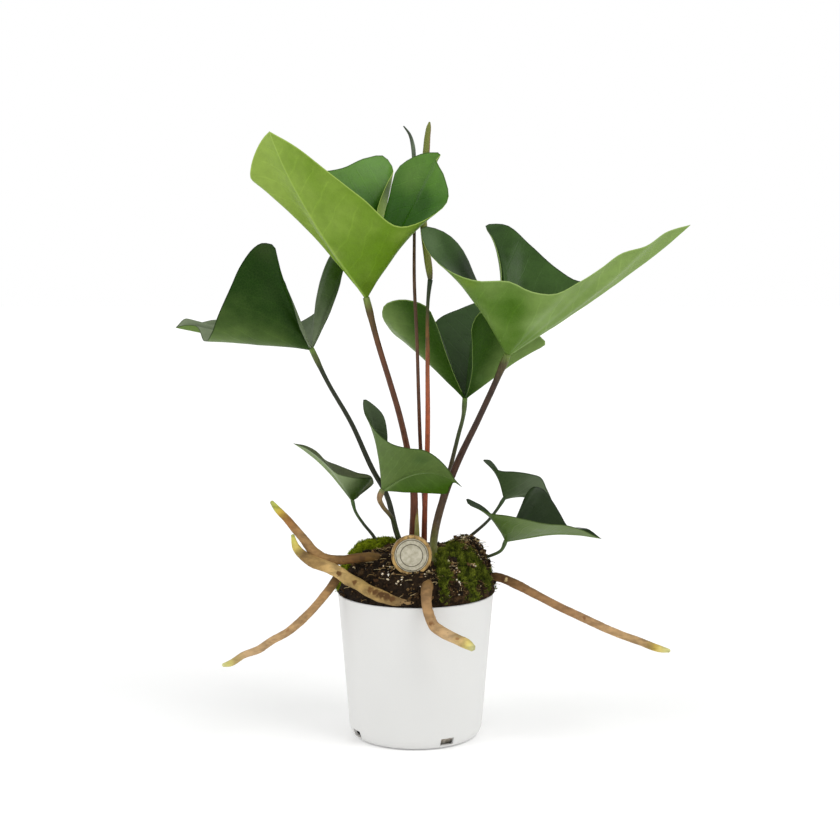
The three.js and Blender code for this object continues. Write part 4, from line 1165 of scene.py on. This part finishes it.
def fibres(rng, places):
    """Thin straw-coloured fibres that curl over the soil and hang a little over the rim."""
    points, faces, tints = [], [], []
    steps, sides = FIBRE_STEPS, FIBRE_SIDES
    for place in places:
        heading = rng.uniform(0, math.tau)
        bend = rng.normal(0, 0.35)
        length = rng.uniform(*FIBRE_LENGTHS)
        radius = rng.uniform(*FIBRE_RADII)
        rise = rng.uniform(-0.1, 0.35)
        centre = place + (0, 0, 0.5)
        shift = len(points)
        tints += [rng.random()] * (steps * sides)
        for step in range(steps):
            heading += bend
            ahead = np.array([math.cos(heading), math.sin(heading), rise * math.cos(step * 0.6)])
            side = unit(np.cross(ahead, [0, 0, 1.0]))
            over = unit(np.cross(side, ahead))
            taper = radius * (1 - 0.6 * step / steps)
            for across, up, _ in circle(taper, 0, sides):
                points.append(centre + side * across + over * up)
            droop = FIBRE_DROOP if math.hypot(centre[0], centre[1]) > SOIL_TOP_REACH else 0.0
            centre = centre + ahead * length / steps - (0, 0, droop)
        faces += ring_faces(steps, sides, shift)
        end = shift + (steps - 1) * sides
        faces += [tuple(range(shift, shift + sides))[::-1], tuple(range(end, end + sides))]
    look = tint_look("fibre_look", [(0, (60, 44, 24)), (0.4, (134, 108, 64)), (1, (214, 194, 146))], 0.8)
    new_piece("soil_fibres", points, faces, None, "soil", [look], tint=tints)


# Moss
def moss_depth(patch, point, around, out):
    """How thick the cushion is at a point, a share of the way round and out."""
    swell = math.sin(math.pi * around) ** 0.5 * math.sin(math.pi * (out * 5 + 0.6) / 6.2) ** 0.5
    lumps = 1 + 0.18 * math.sin(point[0] * 0.5) * math.cos(point[1] * 0.43)
    return MOSS_EDGE_DEPTH + patch.depth * swell * lumps


def moss_share(patch, point, out):
    """How thickly moss grows at a point, 0 for bare soil and 1 for a closed cushion."""
    share = patch.cover + 0.8 * bumpiness(point, 9.0, 2) - 0.7 * max(0.0, (out - 0.82) / 0.18)
    for x, y, radius in patch.bare:
        share -= 1.5 * math.exp(-((point[0] - x) ** 2 + (point[1] - y) ** 2) / radius**2)
    return min(max(share, 0.0), 1.0)


def moss(name, patch):
    """Cushion with moss shoots on it; gives back the points of its top left bare."""
    columns, rows = MOSS_COLUMNS, MOSS_ROWS
    ground = np.zeros((columns, rows, 3))
    lift, cover = np.zeros((2, columns, rows))
    for i, j in np.ndindex(columns, rows):
        around, out = i / (columns - 1), j / (rows - 1)
        angle = patch.start + (patch.end - patch.start) * around
        point = mound_point(angle, patch.inner + (1 - patch.inner) * out)
        rough = 1.4 * bumpiness(point, 6.0, 3) + 0.5 * bumpiness(point, 1.5, 1)
        border = min(i, columns - 1 - i, j, rows - 1 - j) / 6
        ground[i, j] = point
        depth = moss_depth(patch, point, around, out) - MOSS_SHOOT_ROOM
        lift[i, j] = (depth + rough) * min(1.0, border + 0.35)
        cover[i, j] = moss_share(patch, point, out)
    normals = grid_normals(ground)
    top = ground + normals * lift[:, :, None]
    top[:, :, 2] = np.maximum(top[:, :, 2], MOSS_LOWEST)
    points, faces = slab(ground - normals * MOSS_SUNK, top)
    look = Look(name + "_base_look", Roughness=1.0, Specular_IOR_Level=0.1)
    grain = look.noise(300, 4, 0.7)
    green = look.mix(look.span(grain, 0.35, 0.65), *patch.colours[:2])
    earth = look.mix(look.span(grain, 0.4, 0.7), (30, 21, 12), (78, 58, 36))
    look.set(Base_Color=look.mix(look.span(look.value("cover"), 0.3, 0.7), earth, green))
    look.bump(look.noise(800, 3), 0.002)
    values = np.tile(cover.reshape(-1), 2)
    new_piece(name + "_cushion", points, faces, name, "moss", [look], cover=values)
    shoots(name + "_shoots", top, normals, cover, patch)
    inner = np.argwhere(cover[3:-3, 3:-3] < 0.45) + 3
    return [top[i, j] for i, j in inner]


def shoots(name, top, normals, cover, patch):
    """Short leafy shoots: leaflets that stand off a leaning line, one above another."""
    rng = np.random.default_rng(patch.seed)
    points, faces, tints = [], [], []
    for _ in range(MOSS_SHOOTS):
        i = rng.uniform(0, MOSS_COLUMNS - 1.001)
        j = rng.uniform(0, MOSS_ROWS - 1.001)
        a, b, u, v = int(i), int(j), i % 1, j % 1
        if rng.random() > cover[a, b] * 1.2 - 0.2:
            continue
        foot = (top[a, b] * (1 - u) * (1 - v) + top[a + 1, b] * u * (1 - v)
                + top[a, b + 1] * (1 - u) * v + top[a + 1, b + 1] * u * v)
        lean = unit(normals[a, b] + rng.normal(0, 0.42, 3) + (0, 0, 0.35))
        tint = min(max(0.48 + 0.8 * bumpiness(foot, 4.5, 2) + rng.normal(0, 0.16), 0.0), 1.0)
        size = rng.uniform(*SHOOT_SIZES) * (0.8 + 0.6 * tint)
        side = unit(np.cross(lean, rng.normal(size=3)))
        over = np.cross(lean, side)
        for leaflet in range(MOSS_LEAFLETS):
            turn = leaflet * 2.4 + tint * 6
            away = side * math.cos(turn) + over * math.sin(turn)
            start = foot + lean * size * (0.1 + 0.16 * leaflet)
            tip = start + lean * size * 0.42 + away * size * 0.36
            back = start + lean * size * 0.16 + away * size * 0.05
            cross = unit(np.cross(away, lean)) * 0.2
            shift = len(points)
            points += [start - cross, start + cross, tip, back]
            faces += [(shift, shift + 1, shift + 2), (shift + 1, shift, shift + 3)]
            tints += [tint * 0.6, tint * 0.6, 0.15 + tint * 0.85, tint * 0.6]
    look = tint_look(name + "_look", list(zip((0, 0.45, 1), patch.colours)), 0.85)
    new_piece(name, points, faces, None, "moss", [look], smooth=False, tint=tints)


# Plant tag
def facing_front(points):
    """Lathe points round Z turned so that their top faces -Y, and moved to the tag's centre."""
    x, y, z = points.T
    return np.stack([x, -z, y], axis=1) + TAG_CENTRE


def tag():
    """Brass rim with a recess in front, in one piece with the pin that holds it in the soil."""
    rim, inner = TAG_RADIUS, TAG_FACE_RADIUS
    floor = TAG_DEPTH - TAG_RECESS - 0.2
    profile = [
        (0, 0), (rim - 1.0, 0), (rim - 0.3, 0.3), (rim, 1.0), (rim, 3.0), (rim - 0.25, 3.65),
        (rim - 0.8, 3.95), (inner + 0.9, TAG_DEPTH), (inner + 0.4, 3.85), (inner + 0.25, 3.5),
        (inner + 0.25, floor), (0, floor),
    ]
    x, y, z = np.array(TAG_CENTRE) - (0, TAG_PIN_DEPTH, rim)
    pin = [(x, y, z + 2, TAG_PIN_RADIUS), (x, y, z - TAG_PIN_LENGTH / 2, TAG_PIN_RADIUS * 0.8),
           (x, y, z - TAG_PIN_LENGTH + 2, 0.4)]
    points, faces = lathe_mesh(profile, TAG_SIDES)
    points, faces = joined([(facing_front(points), faces), tube_mesh(pin, 14, 1.5, plain)[:2]])
    look = Look("tag_rim_look", Roughness=0.42, Metallic=0.2)
    grain = look.noise(260, 4, 0.6, look.stretched((1, 1, 0.2)))
    brass = look.mix(look.span(grain, 0.35, 0.65), (120, 92, 44), (186, 152, 90))
    marks = look.span(look.noise(330, 4, 0.7), 0.56, 0.64, 0.0, 0.7)
    look.set(Base_Color=look.mix(marks, brass, (64, 44, 20)))
    look.bump(grain, 0.0002)
    piece = new_piece("tag_rim", points, faces, "tag_cap", "tag_rim", [look])
    piece.data.set_sharp_from_angle(angle=math.radians(40))


def tag_face():
    """Cream disc with two thin raised rings, bare otherwise."""
    outer = TAG_FACE_RADIUS
    back = TAG_DEPTH - TAG_RECESS + 0.02
    front = TAG_DEPTH - 0.45
    raised = front + TAG_RING_HEIGHT
    profile = [(0, back), (outer - 0.1, back), (outer, back + 0.15)]
    profile += [(outer, front - 0.15), (outer - 0.15, front)]
    for radius in TAG_RINGS:
        profile += [(radius, front), (radius - 0.12, raised), (radius - 0.5, raised), (radius - 0.62, front)]
    profile += [(4.0, front), (0, front)]
    points, faces = lathe_mesh(profile, TAG_SIDES)
    look = Look("tag_face_look", Roughness=0.62)
    grain = look.noise(220, 5, 0.65)
    base = look.mix(look.span(grain, 0.35, 0.68), (158, 152, 130), (190, 184, 164))
    look.set(Base_Color=look.mix(look.value("ring"), base, (66, 58, 40)))
    look.bump(grain, 0.0001)
    ring = points[:, 2] > front + TAG_RING_HEIGHT / 2
    piece = new_piece("tag_disc", facing_front(points), faces, "tag_face", "tag_face", [look], ring=ring)
    piece.data.set_sharp_from_angle(angle=math.radians(40))


# Stage, light and camera
def stage():
    bpy.ops.mesh.primitive_plane_add(size=FLOOR_SIZE)
    floor = bpy.context.object
    floor.name = "floor"
    look = Look("floor_look", Roughness=0.9, Specular_IOR_Level=0.0, Emission_Color=(1, 1, 1, 1),
                Emission_Strength=FLOOR_GLOW)
    pale = look.span(look.noise(1.5, 2), 0.3, 0.7)
    look.set(Base_Color=look.mix(pale, (0.96, 0.96, 0.96, 1), (0.97, 0.97, 0.97, 1)))
    floor.data.materials.append(look.material)
    for name, (direction, strength) in SUNS.items():
        data = bpy.data.lights.new(name, "SUN")
        data.energy = strength
        data.angle = math.radians(SUN_SPREAD)
        light = bpy.data.objects.new(name, data)
        light.rotation_euler = Vector(direction).to_track_quat("Z", "Y").to_euler()
        bpy.context.scene.collection.objects.link(light)


def sky():
    """Studio surround: white round the horizon, softer overhead."""
    world = bpy.data.worlds.new("studio")
    world.use_nodes = True
    tree = world.node_tree
    split = tree.nodes.new("ShaderNodeSeparateXYZ")
    height = tree.nodes.new("ShaderNodeMapRange")
    height.interpolation_type = "SMOOTHSTEP"
    for socket, value in zip(height.inputs[1:], (SKY_WHITE_BELOW, SKY_SOFT_ABOVE, 1.0, SKY_OVERHEAD)):
        socket.default_value = value
    tree.links.new(tree.nodes.new("ShaderNodeTexCoord").outputs["Generated"], split.inputs[0])
    tree.links.new(split.outputs["Z"], height.inputs["Value"])
    tree.links.new(height.outputs[0], tree.nodes["Background"].inputs["Strength"])
    tree.nodes["Background"].inputs["Color"].default_value = (1, 1, 1, 1)
    bpy.context.scene.world = world


def camera():
    data = bpy.data.cameras.new("camera")
    data.lens = CAMERA_LENS
    data.sensor_width = CAMERA_SENSOR
    view = bpy.data.objects.new("camera", data)
    pitch = math.radians(CAMERA_PITCH)
    ahead = Vector((0, math.cos(pitch), -math.sin(pitch)))
    view.location = Vector(CAMERA_TARGET) - ahead * CAMERA_DISTANCE
    view.rotation_euler = (math.pi / 2 - pitch, 0, 0)
    bpy.context.scene.collection.objects.link(view)
    bpy.context.scene.camera = view


camera()
stage()
sky()
bpy.context.scene.view_settings.view_transform = "Standard"
pot()
soil()
bare_ground = []
for moss_name, moss_patch in MOSS_PATCHES.items():
    bare_ground += moss(moss_name, moss_patch)
litter(bare_ground)
for leaf_name, leaf_form in LEAVES.items():
    blade("leaf_" + leaf_name, leaf_form)
    stalk("stalk_" + leaf_name, leaf_form)
young_leaf()
flower_stalk()
spadix()
sheath()
for root_name, root_form in ROOTS.items():
    root_piece("root_" + root_name, root_form)
tag()
tag_face()
